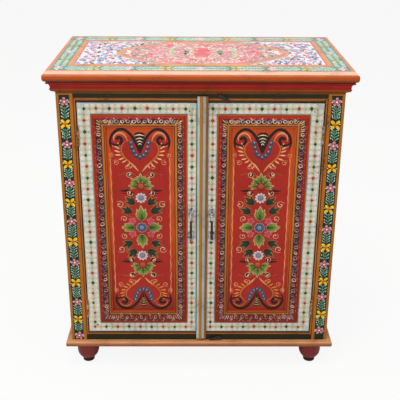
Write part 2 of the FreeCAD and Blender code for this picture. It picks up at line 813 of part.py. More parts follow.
def door(side, meeting_edge, meeting_width, pull_inset):
    """A framed door with its hinge on the right; the left door is kept as its mirror image.

    meeting_edge is where its free edge lies, measured towards the hinge.
    """
    tag = f"{side}_door"
    groove_front = front + s.panel_depth
    groove_back = groove_front + s.groove_width
    door_back = front + s.door_thick
    hinge_inner = door_hinge_edge - s.hinge_stile_width
    meeting_inner = meeting_edge + meeting_width
    panel_bottom = door_bottom + s.door_rail_height
    panel_top = door_top - s.door_rail_height

    # stiles, grooved for the panel along their inner edge
    groove_end = hinge_inner + s.groove_depth
    outline = [
        (hinge_inner, front),
        (door_hinge_edge, front),
        (door_hinge_edge, door_back),
        (hinge_inner, door_back),
        (hinge_inner, groove_back),
        (groove_end, groove_back),
        (groove_end, groove_front),
        (hinge_inner, groove_front),
    ]
    foot = (zero, zero, door_bottom)
    stile = length_of_profile(f"{tag}_hinge_blank", "XY_Plane", outline, door_height, foot)
    cutters = []
    face = door_hinge_edge + s.leaf_thick - s.leaf_let
    screws = []
    for place_name, level in hinge_levels.items():
        low = level - s.hinge_length / 2
        seat_low = (door_hinge_edge - s.leaf_let, front - s.overrun, low)
        seat_high = (door_hinge_edge + s.overrun, front + s.leaf_reach, low + s.hinge_length)
        cutters.append(block(f"{tag}_seat_{place_name}", seat_low, seat_high))
        name = f"{tag}_hinge_leaf_{place_name}"
        whole, bore = hinge_leaf(name, level, face - s.leaf_thick, face, 1)
        holes = [bore]
        for number, step in enumerate((-s.leaf_screw_spread, s.leaf_screw_spread)):
            which = f"{place_name}_{number}"
            holes.append(leaf_sink(f"{name}_sink_{number}", face, "-x", level + step))
            screws.append(leaf_screw(f"{tag}_leaf_screw_{which}", face, "-x", level + step))
            start = (door_hinge_edge + s.overrun, front + s.leaf_screw_depth, level + step)
            run = start[0] - face + s.leaf_screw_length + s.panel_play
            cutters.append(screw_bore(f"{tag}_bore_{which}", start, "-x", run))
        handed(name, cut(name, whole, holes), side)
    handed(f"{tag}_hinge_stile", cut(f"{tag}_hinge_stile", stile, cutters), side)
    handed(f"{tag}_leaf_screws", group(f"{tag}_leaf_screws", screws), side)

    groove_end = meeting_inner - s.groove_depth
    outline = [
        (meeting_edge, front),
        (meeting_inner, front),
        (meeting_inner, groove_front),
        (groove_end, groove_front),
        (groove_end, groove_back),
        (meeting_inner, groove_back),
        (meeting_inner, door_back),
        (meeting_edge, door_back),
    ]
    stile = length_of_profile(f"{tag}_meeting_blank", "XY_Plane", outline, door_height, foot)
    pull_x = meeting_inner - s.moulding_lap - pull_inset
    pull_z = (door_top + door_bottom) / 2
    screws, bores = pull_screws(tag, pull_x, pull_z)
    handed(f"{tag}_meeting_stile", cut(f"{tag}_meeting_stile", stile, bores), side)
    handed(f"{tag}_pull_screws", group(f"{tag}_pull_screws", screws), side)
    handed(f"{tag}_pull", pull(f"{tag}_pull", pull_x, pull_z), side)

    # rails: a groove towards the panel, and stub tenons that fill the stiles' grooves
    run = hinge_inner - meeting_inner
    for place_name, low, lip in (
        ("top", panel_top, zero),
        ("bottom", door_bottom, s.door_rail_height - s.groove_depth),
    ):
        name = f"{tag}_rail_{place_name}"
        high = low + s.door_rail_height
        core = block(f"{name}_core", (meeting_inner, front, low), (hinge_inner, door_back, high))
        groove_low = (meeting_inner - s.overrun, groove_front, low + lip)
        groove_high = (hinge_inner + s.overrun, groove_back, low + lip + s.groove_depth)
        grooved = cut(f"{name}_grooved", core, [block(f"{name}_groove", groove_low, groove_high)])
        tenon_low = low + s.groove_depth if place_name == "top" else low
        tenon_high = tenon_low + s.door_rail_height - s.groove_depth
        tenons_low = (meeting_inner - s.groove_depth, groove_front, tenon_low)
        tenons_high = (hinge_inner + s.groove_depth, groove_back, tenon_high)
        tenons = block(f"{name}_tenons", tenons_low, tenons_high)
        handed(name, fuse(name, [grooved, tenons]), side)

    # panel: a tongue all round, and a field behind it inside the frame
    hold = s.groove_depth - s.panel_play
    tongue_low = (meeting_inner - hold, groove_front, panel_bottom - hold)
    tongue_high = (hinge_inner + hold, groove_back, panel_top + hold)
    tongue = block(f"{tag}_panel_tongue", tongue_low, tongue_high)
    field = door_field(tag, run - s.panel_field_gap * 2, panel_top - panel_bottom - s.panel_field_gap * 2)
    place(field, meeting_inner + s.panel_field_gap, groove_back, panel_bottom + s.panel_field_gap)
    handed(f"{tag}_panel", fuse(f"{tag}_panel", [tongue, field]), side)

    lap = s.moulding_lap
    moulding = panel_moulding(tag, run + lap * 2, panel_top - panel_bottom + lap * 2)
    place(moulding, meeting_inner - lap, front, panel_bottom - lap)
    handed(f"{tag}_panel_moulding", moulding, side)


def door_field(tag, width, height):
    """The raised back of a panel, bevelled all round."""
    body = doc.addObject("PartDesign::Body", f"{tag}_field")
    outline = [(zero, zero), (width, zero), (width, height), (zero, height)]
    sketch = draw(body, f"{tag}_field_outline", "XZ_Plane", outline)
    board = pad(body, f"{tag}_field_board", sketch, s.panel_field_thick, back_way=True)
    doc.recompute()
    rear = [
        f"Edge{number}"
        for number, edge in enumerate(board.Shape.Edges, 1)
        if near(edge.BoundBox.YMin, s.panel_field_thick.value)
    ]
    chamfer = body.newObject("PartDesign::Chamfer", f"{tag}_field_bevel")
    chamfer.Base = (board, rear)
    bind(chamfer, "Size", s.panel_field_bevel)
    return body


def panel_moulding(tag, width, height):
    """The mitred frame of bolection moulding: its section piped round the panel.

    In the section the first value runs from the door's face into the door, and the second
    runs from the outer edge of the moulding towards the panel.
    """
    body = doc.addObject("PartDesign::Body", f"{tag}_panel_moulding")
    outer = [(zero, zero), (width, zero), (width, height), (zero, height)]
    path = draw(body, f"{tag}_moulding_path", "XZ_Plane", outer)
    roll_end = s.moulding_outer_bead + s.moulding_roll
    band_end = roll_end + s.moulding_band
    section = draw(body, f"{tag}_moulding_section", "YZ_Plane", [
        (zero, zero),
        (zero, s.moulding_lap),
        (s.panel_depth, s.moulding_lap),
        (s.panel_depth, s.moulding_width),
        (s.moulding_inner_drop, s.moulding_width, s.moulding_inner_rise),
        (s.moulding_band_drop, band_end),
        (-s.moulding_valley, roll_end, s.moulding_roll_rise),
        (-s.moulding_valley, s.moulding_outer_bead, s.moulding_outer_rise),
        (-s.moulding_edge, zero),
    ])
    doc.recompute()
    pipe = body.newObject("PartDesign::AdditivePipe", f"{tag}_moulding_run")
    pipe.Profile = section
    pipe.Spine = (path, [f"Edge{number}" for number in range(1, len(path.Shape.Edges) + 1)])
    pipe.Transition = "Right corner"
    return body


def pull(name, x, z):
    """A forged pull: a bar bent out from the door, with a leaf-shaped plate at each end."""
    body = doc.addObject("PartDesign::Body", name)
    end = s.pull_span / 2
    bend = s.pull_elbow * (1 - 0.5 ** 0.5)
    straight = s.pull_standoff - s.pull_elbow
    path = draw(body, f"{name}_path", "YZ_Plane", [
        (zero, -end),
        (-straight, -end, -bend),
        (-s.pull_standoff, s.pull_elbow - end),
        (-s.pull_standoff, end - s.pull_elbow, -bend),
        (-straight, end),
        (zero, end),
    ], closed=False)
    section = body.newObject("Sketcher::SketchObject", f"{name}_section")
    section.AttachmentSupport = [(origin_plane(body, "XZ_Plane"), "")]
    section.MapMode = "FlatFace"
    centre = FreeCAD.Vector(0, -end.value, 0)
    section.addGeometry(Part.Circle(centre, FreeCAD.Vector(0, 0, 1), s.pull_bar_radius.value), False)
    for kind, distance in (("DistanceX", zero), ("DistanceY", -end)):
        fixed = section.addConstraint(Sketcher.Constraint(kind, 0, 3, distance.value))
        section.setExpression(f"Constraints[{fixed}]", distance.text)
    fixed = section.addConstraint(Sketcher.Constraint("Radius", 0, s.pull_bar_radius.value))
    section.setExpression(f"Constraints[{fixed}]", s.pull_bar_radius.text)
    doc.recompute()
    pipe = body.newObject("PartDesign::AdditivePipe", f"{name}_bar")
    pipe.Profile = section
    pipe.Spine = (path, [f"Edge{number}" for number in range(1, len(path.Shape.Edges) + 1)])
    for place_name, level in (("lower", -end), ("upper", end)):
        leaf = s.pull_plate_length / 2
        rise = s.pull_plate_half_width
        corners = [(zero, level - leaf, rise), (zero, level + leaf, rise)]
        outline = draw(body, f"{name}_{place_name}_outline", "XZ_Plane", corners)
        pad(body, f"{name}_{place_name}_plate", outline, s.pull_plate_thick)
    place(body, x, front, z)
    holes = [
        cone(f"{name}_hole_{number}", (x, front - s.pull_plate_thick, z + level), "y",
             s.pull_screw_head + s.screw_clearance, s.pull_screw_radius + s.screw_clearance,
             s.pull_plate_thick)
        for number, level in enumerate(pull_screw_levels())
    ]
    return cut(f"{name}_drilled", body, holes)


def pull_screw_levels():
    """One screw in the outer half of each plate."""
    level = s.pull_span / 2 + s.pull_screw_offset
    return -level, level


def pull_screws(tag, x, z):
    screws = []
    bores = []
    for number, level in enumerate(pull_screw_levels()):
        at = (x, front - s.pull_plate_thick, z + level)
        name = f"{tag}_pull_screw_{number}"
        head = cone(f"{name}_head", at, "y", s.pull_screw_head, s.pull_screw_radius, s.pull_plate_thick)
        shank = rod(f"{name}_shank", at, "y", s.pull_screw_radius, s.pull_screw_length)
        screws.append(fuse(name, [head, shank]))
        radius = s.pull_screw_radius + s.screw_clearance
        bores.append(rod(f"{name}_bore", at, "y", radius, s.pull_screw_length + s.panel_play))
    return screws, bores


def astragal():
    """The rounded strip on the right door's meeting edge, relieved where it passes the lining."""
    low_z = base_top + s.astragal_bottom_gap
    high_z = cornice_bottom - s.astragal_top_gap
    edge = s.door_gap / 2 - s.meeting_offset
    bead_end = s.astragal_bead_start + s.astragal_bead_width
    outline = [
        (s.astragal_width, zero),
        (zero, zero),
        (zero, -s.astragal_thick),
        (s.astragal_bead_start, -s.astragal_thick, s.astragal_bead_rise),
        (bead_end, -s.astragal_thick),
        (s.astragal_width - s.astragal_edge_width, -s.astragal_thick, s.astragal_edge_rise),
        (s.astragal_width, -s.astragal_thick),
    ]
    strip = length_of_profile("astragal_blank", "XY_Plane", outline, high_z - low_z, (edge, front, low_z))
    wide_low = edge - s.overrun
    wide_high = edge + s.astragal_width + s.overrun
    past_top = high_z + s.overrun
    relief = front - s.astragal_relief
    cutters = [
        block(name, (wide_low, relief, low), (wide_high, front + s.overrun, high))
        for name, low, high in (
            ("astragal_relief_top", door_top, past_top),
            ("astragal_relief_bottom", low_z - s.overrun, door_bottom),
        )
    ]
    bead_low = (wide_low, front - s.astragal_thick - s.overrun, high_z - s.astragal_bead_stop)
    bead_high = (edge + bead_end, front - s.astragal_thick, past_top)
    cutters.append(block("astragal_bead_end", bead_low, bead_high))
    keep("right_door_astragal", cut("right_door_astragal", strip, cutters))


def button_places():
    yield "top", s.button_top_across, cornice_bottom - s.button_top_below, s.button_top_tilt
    yield "bottom", s.button_bottom_across, base_top + s.button_bottom_above, s.button_bottom_tilt


def turn_buttons():
    """Two iron turn buttons: each swings on a screw, held off the rail by a washer."""
    heel = s.button_heel_radius
    tip = s.button_tip_radius
    outline = [
        (zero, -heel),
        (s.button_length - tip, -tip, tip * s.button_end_rise_share),
        (s.button_length - tip, tip),
        (zero, heel, heel * s.button_end_rise_share),
    ]
    washers = []
    screws = []
    for place_name, across, level, tilt in button_places():
        name = f"turn_button_{place_name}"
        body = doc.addObject("PartDesign::Body", f"{name}_blank")
        pad(body, f"{name}_plate", draw(body, f"{name}_outline", "XZ_Plane", outline), s.button_thick)
        turn = FreeCAD.Rotation(FreeCAD.Vector(0, 1, 0), tilt.value)
        body.Placement = FreeCAD.Placement(FreeCAD.Vector(), turn)
        body.setExpression("Placement.Rotation.Angle", f"{tilt.text} * 1 deg")
        washer_front = front - s.washer_thick
        button_back = washer_front - s.button_play
        place(body, across, button_back, level)
        bore_radius = s.pivot_radius + s.screw_clearance
        button_front = button_back - s.button_thick
        bore_start = (across, button_front - s.overrun, level)
        bore = rod(f"{name}_bore", bore_start, "y", bore_radius, s.overrun * 2 + s.button_thick)
        keep(name, cut(name, body, [bore]))
        face = (across, washer_front, level)
        disc = rod(f"{name}_washer_disc", face, "y", s.washer_radius, s.washer_thick)
        hole = rod(f"{name}_washer_hole", face, "y", bore_radius, s.washer_thick)
        washers.append(cut(f"{name}_washer", disc, [hole]))
        screws.append(pivot_screw(f"{name}_screw", across, button_front - s.button_play, level))
    keep("turn_button_washers", group("turn_button_washers", washers))
    keep("turn_button_screws", group("turn_button_screws", screws))


def pivot_screw(name, across, head_back, level):
    """A round-headed screw, turned about its own axis and laid along Y."""
    shank = front + s.pivot_depth - s.screw_clearance - head_back
    brim = -s.pivot_head_height
    crown = brim - s.pivot_head_rise
    body = doc.addObject("PartDesign::Body", name)
    revolution = body.newObject("PartDesign::Revolution", f"{name}_turning")
    revolution.Profile = draw(body, f"{name}_outline", "XY_Plane", [
        (zero, crown, s.pivot_head_rise / 4),
        (s.pivot_head_radius, brim),
        (s.pivot_head_radius, zero),
        (s.pivot_radius, zero),
        (s.pivot_radius, shank),
        (zero, shank),
    ])
    revolution.ReferenceAxis = (revolution.Profile[0], ["V_Axis"])
    revolution.Angle = 360
    place(body, across, head_back, level)
    return body


top_board()
cornice()
sides_and_back()
posts()
rails()
beads()
door_stops()
base_board()
feet()
shelf_and_cleats()
frame_hinges()
door("left", s.meeting_offset + s.door_gap / 2, s.left_meeting_width, s.left_pull_inset)
door("right", s.door_gap / 2 - s.meeting_offset, s.right_meeting_width, s.right_pull_inset)
astragal()
turn_buttons()
doc.recompute()

# Nothing is written unless every feature and every sub-part is sound
for item in doc.Objects:
    if "Invalid" in item.State or "Error" in item.State:
        raise RuntimeError(f"{item.Name} failed: {item.State}")
for name, item in nodes.items():
    if item.Shape.isNull() or not item.Shape.isValid():
        raise RuntimeError(f"{name} has no valid shape")

os.makedirs("parts", exist_ok=True)
for name, item in nodes.items():
    item.Shape.exportStep(f"parts/{name}.step")
print(f"{len(nodes)} sub-parts written")
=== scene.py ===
import bpy
import bmesh
import random
from math import radians, degrees, pi, sin, cos, hypot, atan2
from mathutils import Matrix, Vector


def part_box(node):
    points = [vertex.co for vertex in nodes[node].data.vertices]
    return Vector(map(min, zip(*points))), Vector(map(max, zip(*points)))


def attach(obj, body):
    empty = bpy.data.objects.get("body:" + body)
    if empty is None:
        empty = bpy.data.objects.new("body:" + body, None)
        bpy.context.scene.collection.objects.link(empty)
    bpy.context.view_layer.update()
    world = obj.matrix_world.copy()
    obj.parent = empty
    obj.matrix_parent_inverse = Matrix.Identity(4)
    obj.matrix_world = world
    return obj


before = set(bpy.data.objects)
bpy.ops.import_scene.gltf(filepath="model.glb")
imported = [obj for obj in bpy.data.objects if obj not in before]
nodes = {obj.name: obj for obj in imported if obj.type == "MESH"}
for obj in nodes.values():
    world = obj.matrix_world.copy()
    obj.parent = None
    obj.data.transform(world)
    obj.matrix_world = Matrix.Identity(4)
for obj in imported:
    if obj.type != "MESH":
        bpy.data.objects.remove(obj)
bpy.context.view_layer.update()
bpy.ops.object.select_all(action="DESELECT")
random.seed(12)
mm = 0.001


def linearColour(hexColour):  # sRGB hex to the linear values that sockets hold
    channels = [int(hexColour[i:i + 2], 16) / 255 for i in (1, 3, 5)]
    return [c / 12.92 if c <= 0.04045 else ((c + 0.055) / 1.055) ** 2.4 for c in channels] + [1.0]


def addNode(tree, kind, inputs=None, **settings):
    node = tree.nodes.new("ShaderNode" + kind)
    for name, value in settings.items():
        setattr(node, name, value)
    for place, value in (inputs or {}).items():
        if isinstance(value, bpy.types.NodeSocket):
            tree.links.new(value, node.inputs[place])
        else:
            node.inputs[place].default_value = linearColour(value) if isinstance(value, str) else value
    return node


def newFinish(name):
    finish = bpy.data.materials.new(name)
    finish.use_nodes = True
    spot = addNode(finish.node_tree, "TexCoord").outputs["Object"]
    return finish, finish.node_tree, spot


def noise(tree, spot, size, detail=3.0):  # blotches of about so many mm
    return addNode(tree, "TexNoise", {"Vector": spot, "Scale": 1 / (size * mm), "Detail": detail}).outputs[0]


def rescale(tree, value, start, end, low=0.0, high=1.0):
    limits = {"Value": value, "From Min": start, "From Max": end, "To Min": low, "To Max": high}
    return addNode(tree, "MapRange", limits).outputs[0]


def mixColours(tree, share, first, second, blend="MIX"):
    node = addNode(tree, "Mix", {0: share, 6: first, 7: second}, data_type="RGBA", blend_type=blend)
    return node.outputs[2]


def combine(tree, operation, *values):
    return addNode(tree, "Math", dict(enumerate(values)), operation=operation).outputs[0]


def subtract(tree, first, second):
    return addNode(tree, "VectorMath", {0: first, 1: second}, operation="SUBTRACT").outputs[0]


# brushed oil paint under old varnish: faint bristle marks, yellowed patches, a gloss that comes and goes
varnish = {
    "ior": 1.5,
    "bristle": 1.1,       # mm across one brush mark, drawn a little coarse so that it shows
    "strokeLength": 45,   # mm along it
    "cloud": 55,          # mm across a patch of darker, older varnish
    "speck": 2.6,         # mm across a worn speck
    "yellowed": "#B09A84",
    "relief": 0.25,       # mm
}


def varnishPaint(tree, spot, colour, along="z", gloss=0.38, age=0.45, specks=0.0, speckColour="#3A2412",
                 shine=0.16):
    shader = tree.nodes["Principled BSDF"]
    marks = [1 / (varnish["bristle"] * mm)] * 3
    marks["xyz".index(along)] = 1 / (varnish["strokeLength"] * mm)
    lay = addNode(tree, "Mapping", {"Vector": spot, "Scale": marks}).outputs[0]
    brush = addNode(tree, "TexNoise", {"Vector": lay, "Scale": 1.0, "Detail": 3.0}).outputs[0]
    clouds = noise(tree, spot, varnish["cloud"], 4.0)
    mixed = combine(tree, "ADD", brush, clouds)
    aged = mixColours(tree, rescale(tree, mixed, 0.75, 1.35, 0, age), colour, varnish["yellowed"], "MULTIPLY")
    if specks:
        worn = combine(tree, "MULTIPLY", noise(tree, spot, varnish["speck"], 5.0), clouds)
        chips = rescale(tree, worn, 0.36 - specks * 0.1, 0.4 - specks * 0.1)
        aged = mixColours(tree, chips, aged, speckColour)
    relief = {"Height": mixed, "Strength": 0.35, "Distance": varnish["relief"] * mm}
    bump = addNode(tree, "Bump", relief).outputs[0]
    tree.links.new(aged, shader.inputs["Base Color"])
    tree.links.new(rescale(tree, mixed, 0.6, 1.4, gloss, gloss + 0.2), shader.inputs["Roughness"])
    tree.links.new(bump, shader.inputs["Normal"])
    shader.inputs["IOR"].default_value = varnish["ior"]
    shader.inputs["Specular IOR Level"].default_value = shine


def paintBands(tree, spot, across, edges, colours, wobble=0.7):
    # bands of colour laid side by side with a hand-held brush: edges in mm, wandering by the wobble
    shift = rescale(tree, noise(tree, spot, 35, 2.0), 0, 1, -wobble * mm, wobble * mm)
    low, high = edges[0] * mm, edges[-1] * mm
    ramp = addNode(tree, "ValToRGB", {"Fac": rescale(tree, combine(tree, "ADD", across, shift), low, high)})
    stops = ramp.color_ramp.elements
    ramp.color_ramp.interpolation = "CONSTANT"
    stops.remove(stops[1])
    stops[0].position = 0
    stops[0].color = linearColour(colours[0])
    for edge, colour in zip(edges[1:], colours[1:]):
        stops.new((edge * mm - low) / (high - low)).color = linearColour(colour)
    return ramp.outputs[0]


def fadeOver(tree, value, start, end, first, second):
    # one colour giving way to another between two places in mm
    return mixColours(tree, rescale(tree, value, start * mm, end * mm), first, second)


def frameDistance(tree, spot, centre, half, flat):
    # how far a point lies inside a rectangle's edge, across the two directions of a flat face
    size = addNode(tree, "VectorMath", {0: subtract(tree, spot, centre)}, operation="ABSOLUTE").outputs[0]
    parts = addNode(tree, "SeparateXYZ", {0: subtract(tree, half, size)})
    return combine(tree, "MINIMUM", parts.outputs[flat[0]], parts.outputs[flat[1]])


def axis(tree, spot, index):
    return addNode(tree, "SeparateXYZ", {0: spot}).outputs[index]


def middleOf(low, high):
    return [(a + b) / 2 for a, b in zip(low, high)], [(b - a) / 2 for a, b in zip(low, high)]


def dress(finish, *names):
    for name in names:
        nodes[name].data.materials.clear()
        nodes[name].data.materials.append(finish)


# oil paint on the posts: bottle green between ochre lines, which turn across the top under the cornice; the
# dark band above that line is painted shade under the cornice
postPaint = {
    "edges": [300, 312.5, 320.5, 346.5, 360], "colours": ["#6E3A12", "#A8641A", "#18281A", "#A0641A"],
    "head": 784.5, "line": 787, "shadeUnderCorniceColour": "#74400F", "lineColour": "#B07020",
}
finish, tree, spot = newFinish("oil paint, bottle green with ochre lines")
across = combine(tree, "ABSOLUTE", axis(tree, spot, 0))
colour = paintBands(tree, spot, across, postPaint["edges"], postPaint["colours"])
height = axis(tree, spot, 2)
for place, soft, over in (("head", 0.3, "lineColour"), ("line", 0.5, "shadeUnderCorniceColour")):
    start, end = postPaint[place] - soft, postPaint[place] + soft
    colour = fadeOver(tree, height, start, end, colour, postPaint[over])
varnishPaint(tree, spot, colour, specks=0.12)
dress(finish, "post_left", "post_right")

# the rails: bottle green under the same ochre line, and the same dark band of painted shade under the cornice
finish, tree, spot = newFinish("oil paint, bottle green under an ochre line")
colours = ["#1E2412", postPaint["lineColour"], postPaint["shadeUnderCorniceColour"]]
colour = paintBands(tree, spot, axis(tree, spot, 2), [0, postPaint["head"], postPaint["line"], 900], colours)
varnishPaint(tree, spot, colour, along="x", specks=0.1)
dress(finish, "rail_top", "rail_bottom")

finish, tree, spot = newFinish("oil paint, bottle green on the side boards")
varnishPaint(tree, spot, "#2A3C20", specks=0.2)
dress(finish, "side_left", "side_right")

# the lining beads: umber, with an orange line along the crown painted as the highlight of its ridges and a
# near-black inner edge painted as shade by the doors' gap, rubbed thin in places
beadPaint = {"edges": [-2, 2.8, 5.6, 9.6, 14], "colours": ["#623A1C", "#AC601C", "#543418", "#281810"]}
low = [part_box("bead_left")[0][0], 0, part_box("bead_bottom")[0][2]]
high = [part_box("bead_right")[1][0], 0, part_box("bead_top")[1][2]]
finish, tree, spot = newFinish("thin oil paint, umber and orange, on the lining beads")
inwards = frameDistance(tree, spot, *middleOf(low, high), (0, 2))
colour = paintBands(tree, spot, inwards, beadPaint["edges"], beadPaint["colours"])
varnishPaint(tree, spot, colour, specks=0.25)
dress(finish, "bead_left", "bead_right", "bead_top", "bead_bottom")

# gloss oil paint on the cornice: cinnabar, with painted shade darkening the two quirks, over an umber lowest
# member
cornicePaint = {
    "edges": [780, 802, 806, 807.2, 812.8, 814, 822.5],
    "colours": ["#864010", "#9A1810", "#74120C", "#A81A12", "#640E08", "#80160E"],
}
finish, tree, spot = newFinish("gloss oil paint, cinnabar red")
colour = paintBands(tree, spot, axis(tree, spot, 2), cornicePaint["edges"], cornicePaint["colours"], 0.4)
varnishPaint(tree, spot, colour, along="x", gloss=0.24, specks=0.04)
dress(finish, "cornice_front", "cornice_left", "cornice_right")

# oil paint on the base board, worn in specks, with a painted highlight along its upper edge and painted shade
# towards its foot
basePaint = {"paintedHighlight": "#C48A5E", "face": "#A06236", "under": "#84482A", "edges": (12, 6, 5, 1)}
finish, tree, spot = newFinish("worn oil paint, light tan, painted highlight and shade")
height, baseTop = axis(tree, spot, 2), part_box("base_board")[1][2] / mm
lowStart, lowEnd, highStart, highEnd = [baseTop - edge for edge in basePaint["edges"]]
colour = fadeOver(tree, height, lowStart, lowEnd, basePaint["under"], basePaint["face"])
colour = fadeOver(tree, height, highStart, highEnd, colour, basePaint["paintedHighlight"])
varnishPaint(tree, spot, colour, along="x", gloss=0.34, specks=0.08, speckColour="#8A5230", shine=0.3)
dress(finish, "base_board")

# gloss enamel on the turned feet, black on the floor pads
feetPaint = {"edges": [-1, 7, 11, 90], "colours": ["#1E1814", "#4A1814", "#741A16"]}
finish, tree, spot = newFinish("gloss enamel, oxblood")
colour = paintBands(tree, spot, axis(tree, spot, 2), feetPaint["edges"], feetPaint["colours"], 0.1)
varnishPaint(tree, spot, colour, along="x", gloss=0.16, shine=0.35)
dress(finish, "foot_front_left", "foot_front_right", "foot_back_left", "foot_back_right")

# planed softwood that was never painted: close rings drawn out along the board
bareWood = {"ring": 9, "length": 260, "pale": "#B98D5C", "dark": "#8E6438"}
finish, tree, spot = newFinish("pine, planed and bare")
ringScale, lengthScale = [1 / (bareWood[size] * mm) for size in ("ring", "length")]
drawnOut = {"Vector": spot, "Scale": [lengthScale, ringScale, ringScale]}
grain = addNode(tree, "Mapping", drawnOut).outputs[0]
ringNoise = {"Vector": grain, "Scale": 1.0, "Detail": 4.0, "Distortion": 0.6}
rings = addNode(tree, "TexNoise", ringNoise).outputs[0]
colour = mixColours(tree, rescale(tree, rings, 0.35, 0.65), bareWood["pale"], bareWood["dark"])
varnishPaint(tree, spot, colour, along="x", gloss=0.55, age=0.3)
dress(finish, "back_panel", "shelf", "shelf_cleat_left", "shelf_cleat_right", "door_stop_top",
      "door_stop_bottom")
print("carcass painted")

# painted top: an orange rim with a painted highlight along its front strip, a green border, an orange and a
# red line and a white field, and painted shade on the lower part of its edge
topPaint = {
    "borderOuter": (369, -186, 223),  # half width, front and back edge of the green border, mm
    "borderInner": (332, -140, 172),
    "fieldEdge": (320, -124, 160),
    "field": (316, -120, 156),
    "colours": {
        "borderOuter": "#4A7864", "borderInner": "#C67E40", "fieldEdge": "#C04458", "field": "#DCD8D8",
    },
    "rim": "#C4682C", "paintedHighlight": "#DAA98A", "edge": "#A64600", "under": "#64300C",
    "paintedHighlightStart": (-228, -221), "paintedHighlightEnd": (-198, -187),  # where the painted highlight along the front strip fades in and out
    "edgeDepths": (16, 8, 2.5, 0.6),  # below the top: from painted shade to the edge's colour, then to the rim
}
finish, tree, spot = newFinish("oil paint, flowered top")
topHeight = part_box("top_board")[1][2]
top = topHeight / mm
towardsBack = axis(tree, spot, 1)
front = fadeOver(tree, towardsBack, *topPaint["paintedHighlightStart"], topPaint["edge"], topPaint["paintedHighlight"])
colour = fadeOver(tree, towardsBack, *topPaint["paintedHighlightEnd"], front, topPaint["rim"])
for size in ("borderOuter", "borderInner", "fieldEdge", "field"):
    halfWidth, low, high = [v * mm for v in topPaint[size]]
    inside = frameDistance(tree, spot, [0, (low + high) / 2, 0], [halfWidth, (high - low) / 2, 0], (0, 1))
    colour = fadeOver(tree, inside, -0.3, 0.3, colour, topPaint["colours"][size])
height = axis(tree, spot, 2)
lowStart, lowEnd, highStart, highEnd = [top - depth for depth in topPaint["edgeDepths"]]
edge = fadeOver(tree, height, lowStart, lowEnd, topPaint["under"], topPaint["edge"])
colour = fadeOver(tree, height, highStart, highEnd, edge, colour)
varnishPaint(tree, spot, colour, along="x", gloss=0.24, age=0.35, specks=0.04, shine=0.3)
dress(finish, "top_board")
print("top painted")

# chalky oil paint on the door frames, cream clouding into pale blue
framePaint = {"cream": "#C6C8B8", "blue": "#ACBABC", "patch": 60}
finish, tree, spot = newFinish("oil paint, chalky white")
share = rescale(tree, noise(tree, spot, framePaint["patch"]), 0.4, 0.58)
colour = mixColours(tree, share, framePaint["cream"], framePaint["blue"])
varnishPaint(tree, spot, colour, gloss=0.4, specks=0.05, speckColour="#848270")
frameParts = ("hinge_stile", "meeting_stile", "rail_top", "rail_bottom")
for side in ("left", "right"):
    dress(finish, *[f"{side}_door_{part}" for part in frameParts])

# the moulding's members, from its outer edge inwards, and the panel inside it
mouldingPaint = {
    # the first band and the dark one just inside the ochre line are painted shadow lines, at the frame's edge
    # and at the panel's edge
    "edges": [-1, 0.7, 3.8, 11, 25.8, 30.8, 32.6, 40],
    "colours": ["#42240F", "#A4541A", "#9E1E16", "#44201A", "#B06E26", "#361810", "#BC4C1A"],
    "lap": 36,  # mm from the outer edge to where the panel starts
    "footTone": "#5A1C12", "age": 0.45, "turn": (-230, -60),  # it is darker at the foot of the door
}
panelPaint = {
    "edges": [-12, 7, 9, 400], "colours": ["#C0521A", "#B64018", "#A0261C"],
    "capStart": 34, "capEnd": 12,  # mm from the panel's ends
    "upper": "#BE4A1C", "lower": "#8E2C1E", "turn": (-190, 0),  # the caps and sides redden downwards
}
panelBoxes = {}
for side in ("left", "right"):
    centre, half = middleOf(*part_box(f"{side}_door_panel_moulding"))
    finish, tree, spot = newFinish(f"gloss oil paint on the {side} moulding")
    inwards = frameDistance(tree, spot, centre, half, (0, 2))
    colour = paintBands(tree, spot, inwards, mouldingPaint["edges"], mouldingPaint["colours"], 0.4)
    up = axis(tree, subtract(tree, spot, centre), 2)
    dark = mixColours(tree, mouldingPaint["age"], colour, mouldingPaint["footTone"])
    varnishPaint(tree, spot, fadeOver(tree, up, *mouldingPaint["turn"], dark, colour), gloss=0.3)
    dress(finish, f"{side}_door_panel_moulding")
    inset = mouldingPaint["lap"] * mm
    halfX, halfZ = half[0] - inset, half[2] - inset
    panelBoxes[side] = [v / mm for v in (centre[0], centre[2], halfX, halfZ)]
    finish, tree, spot = newFinish(f"gloss oil paint on the {side} panel")
    inwards = frameDistance(tree, spot, centre, [halfX, 0, halfZ], (0, 2))
    field = paintBands(tree, spot, inwards, panelPaint["edges"], panelPaint["colours"], 0.6)
    up = axis(tree, subtract(tree, spot, centre), 2)
    start, end = [halfZ / mm - panelPaint[name] for name in ("capStart", "capEnd")]
    fromMiddle = combine(tree, "ABSOLUTE", up)
    bright = fadeOver(tree, fromMiddle, start, end, field, panelPaint["upper"])
    dark = fadeOver(tree, fromMiddle, start, end, panelPaint["colours"][-1], panelPaint["lower"])
    varnishPaint(tree, spot, fadeOver(tree, up, *panelPaint["turn"], dark, bright), gloss=0.34)
    dress(finish, f"{side}_door_panel")

# the strip that covers the doors' gap: chalky white with two orange beads
astragalPaint = {"edges": [-20, -2, 5.5, 12.8, 30], "colours": ["#ACBEB0", "#AC6C26", "#9CA69A", "#865024"]}
finish, tree, spot = newFinish("oil paint, striped strip")
colour = paintBands(tree, spot, axis(tree, spot, 0), astragalPaint["edges"], astragalPaint["colours"], 0.3)
varnishPaint(tree, spot, colour, specks=0.15, speckColour="#7A6A48")
dress(finish, "right_door_astragal")
print("doors painted")

# forged iron, blackened by fire and handling: pitted, with rust in the pits
iron = {"pit": 2.2, "rust": "#4A2E1C", "black": "#1B1A17", "metal": 0.5}
# the house paint that ran over the pulls: it holds on the plates and on each bar's upper end
overpaint = {"pale": "#B2B6AE", "violet": "#6E6C80", "patch": 6, "plate": (4.4, 3.6), "bar": (4, 26)}


